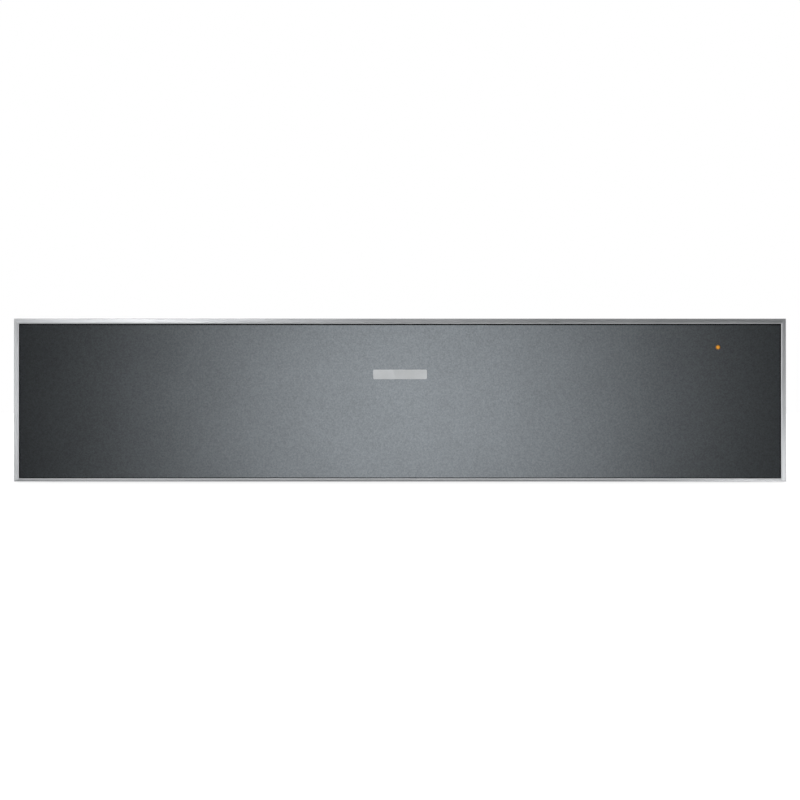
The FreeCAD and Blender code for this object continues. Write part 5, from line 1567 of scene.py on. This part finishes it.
@dataclass
class Studio:
    """White surroundings with a dark cone behind the camera and a weaker lower part, a pale floor, a lamp
    on the camera's axis, small lamps for the frame bars and a fill lamp for the open drawer."""

    nodes: dict[str, bpy.types.Object]

    front_y: float = -0.281
    front_middle: float = 0.0637
    camera_distance: float = 2.4
    frame_width: float = 0.6155
    sensor_mm: float = 36.0
    lamp_distance: float = 2.5
    lamp_radius: float = 0.25
    lamp_offset: float = 0.01
    lamp_drop: float = 0.008
    lamp_spread: float = 20.0
    lamp_power: float = 0.0547
    surround: float = 1.0
    low_surround: float = 0.62
    high_surround: float = 1.12
    height_reach: tuple[float, float] = (-0.3, 0.9)
    shade: float = 0.002
    cone_reach: tuple[float, float] = (-0.92, -0.7)
    cone_squeeze: tuple[float, float, float] = (0.85, 1.0, 1.1)
    floor_albedo: str = "#a0a0a0"
    floor_lift: float = 0.76
    floor_half: float = 12.0
    bright_metal: tuple[str, ...] = ("frame_top", "frame_bottom", "frame_left", "frame_right")
    dark_front: tuple[str, ...] = ("front_glass", "glass_seal", "badge_plate", "lamp_light_pipe")
    fill_radius: float = 0.9
    fill_power: float = 11.0
    fill_place: tuple[float, float, float] = (0.0, -2.6, 0.7)
    # Name, the bars it lights, its place, its aim, its size in metres and its power in watts.
    accents: tuple[AccentLamp, ...] = (
        AccentLamp(
            "upper_left_lamp", ("frame_top",),
            (-0.21, -0.48, 0.226), (-0.21, -0.281, 0.125), (0.14, 0.05), 0.60,
        ),
        AccentLamp(
            "left_lamp", ("frame_left",),
            (-0.40, -0.45, 0.055), (-0.296, -0.281, 0.055), (0.05, 0.12), 0.29,
        ),
        AccentLamp(
            "right_lamp", ("frame_right", "frame_top"),
            (0.42, -0.46, 0.06), (0.296, -0.281, 0.06), (0.05, 0.08), 0.045,
        ),
        AccentLamp(
            "lower_right_lamp", ("frame_bottom", "frame_right"),
            (0.29, -0.40, 0.0), (0.28, -0.281, 0.01), (0.10, 0.04), 0.065,
        ),
        AccentLamp(
            "lower_left_lamp", ("frame_bottom",),
            (-0.24, -0.42, 0.0), (-0.24, -0.281, 0.01), (0.16, 0.04), 0.035,
        ),
        AccentLamp(
            "bevel_lamp", ("frame_top", "frame_bottom"),
            (0.0, -0.36, 0.0637), (0.0, -0.281, 0.0637), (0.58, 0.012), 0.07,
        ),
        AccentLamp(
            "side_bevel_lamp", ("frame_left", "frame_right"),
            (0.02, -0.50, 0.0637), (0.0, -0.281, 0.0637), (0.30, 0.10), 0.36,
        ),
    )

    def build(self) -> None:
        """Builds the whole studio."""
        self.surroundings()
        floor = self.floor()
        self.key_lamp()
        for accent in self.accents:
            accent.hang(self.nodes)
        self.fill_lamp(floor)
        self.camera()

    def surroundings(self) -> None:
        """Lights the object from all sides but the front, less from low down, and shows white behind it."""
        world = bpy.data.worlds.new("studio")
        bpy.context.scene.world = world
        world.use_nodes = True
        tree = world.node_tree
        tree.nodes.clear()
        direction = add_node(tree, "ShaderNodeTexCoord").outputs["Generated"]
        flat = {0: direction, 1: self.cone_squeeze}
        squeezed = add_node(tree, "ShaderNodeVectorMath", flat, operation="MULTIPLY")
        unit = add_node(tree, "ShaderNodeVectorMath", {0: squeezed}, operation="NORMALIZE")
        parts = add_node(tree, "ShaderNodeSeparateXYZ", {0: unit})
        levels = []
        for axis, reach, low, high in (
            ("Y", self.cone_reach, self.shade, self.surround),
            ("Z", self.height_reach, self.low_surround, self.high_surround),
        ):
            ends = {"From Min": reach[0], "From Max": reach[1], "To Min": low, "To Max": high}
            given = {"Value": parts.outputs[axis], **ends}
            levels.append(add_node(tree, "ShaderNodeMapRange", given, interpolation_type="SMOOTHSTEP"))
        both = add_node(tree, "ShaderNodeMath", {0: levels[0], 1: levels[1]}, operation="MULTIPLY")
        paper = (1.0, 1.0, 1.0, 1.0)
        soft = add_node(tree, "ShaderNodeBackground", {"Color": paper, "Strength": both})
        white = add_node(tree, "ShaderNodeBackground", {"Color": paper, "Strength": 1.0})
        seen = add_node(tree, "ShaderNodeLightPath").outputs["Is Camera Ray"]
        shown = add_node(tree, "ShaderNodeMixShader", {0: seen, 1: soft, 2: white})
        add_node(tree, "ShaderNodeOutputWorld", {"Surface": shown})

    def floor(self) -> bpy.types.Object:
        """Lays a pale floor that takes the object's shadow and is white away from it.

        Returns:
            The floor's object.
        """
        made = bmesh.new()
        bmesh.ops.create_grid(made, x_segments=1, y_segments=1, size=self.floor_half)
        floor = mesh_object("studio_floor", made)
        paint = bpy.data.materials.new("studio_floor_paint")
        paint.use_nodes = True
        tree = paint.node_tree
        tree.nodes.clear()
        matt = add_node(tree, "ShaderNodeBsdfDiffuse", {"Color": linear(self.floor_albedo)})
        lift = add_node(tree, "ShaderNodeEmission", {"Strength": self.floor_lift})
        both = add_node(tree, "ShaderNodeAddShader", {0: matt, 1: lift})
        add_node(tree, "ShaderNodeOutputMaterial", {"Surface": both})
        floor.data.materials.append(paint)
        floor.visible_glossy = floor.visible_diffuse = False
        floor.visible_transmission = floor.visible_shadow = False
        return floor

    def key_lamp(self) -> None:
        """Hangs one round soft lamp on the camera's axis, which makes the glow in the pane."""
        place = (self.lamp_offset, self.front_y - self.lamp_distance, self.front_middle - self.lamp_drop)
        size = (2 * self.lamp_radius, 2 * self.lamp_radius)
        turn = Euler((QUARTER_TURN, 0.0, 0.0))
        stand = soft_lamp("front_lamp", LampShape.DISK, size, self.lamp_power, place, turn)
        stand.data.spread = math.radians(self.lamp_spread)

    def fill_lamp(self, floor: bpy.types.Object) -> None:
        """Lights what the open drawer shows, which faces the dark side of the studio.

        Args:
            floor: The floor, which the lamp leaves alone so that it keeps its shadow.
        """
        turn = aimed(self.fill_place, (0.0, self.front_y, self.front_middle))
        size = (2 * self.fill_radius, 2 * self.fill_radius)
        stand = soft_lamp("fill_lamp", LampShape.DISK, size, self.fill_power, self.fill_place, turn)
        unlit = bpy.data.collections.new("left_dark")
        for piece in (floor, *(self.nodes[name] for name in self.bright_metal + self.dark_front)):
            unlit.objects.link(piece)
        for entry in unlit.collection_objects:
            entry.light_linking.link_state = "EXCLUDE"
        stand.light_linking.receiver_collection = unlit

    def camera(self) -> None:
        """Places the camera level with the middle of the front and square to it."""
        lens = bpy.data.cameras.new("front_view")
        lens.sensor_width = self.sensor_mm
        lens.lens = self.sensor_mm * self.camera_distance / self.frame_width
        lens.clip_start, lens.clip_end = 0.05, 50.0
        stand = bpy.data.objects.new("front_view", lens)
        stand.location = (0.0, self.front_y - self.camera_distance, self.front_middle)
        stand.rotation_euler = (QUARTER_TURN, 0.0, 0.0)
        bpy.context.scene.collection.objects.link(stand)
        bpy.context.scene.camera = stand
        bpy.context.scene.view_settings.view_transform = "Standard"


def main() -> None:
    """Loads the frame and builds the studio and every sub-assembly."""
    logging.basicConfig(level=logging.INFO, format="%(message)s")
    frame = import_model()
    Studio(frame["nodes"]).build()
    front_to_back = (GlassFront, HeatedDrawer, TelescopicRails, Controls, HeaterDeck)
    for unit in (*front_to_back, WarmAirAndSupply, PushLatch, Casing):
        unit(frame["nodes"]).build()


if __name__ == "__main__":
    main()
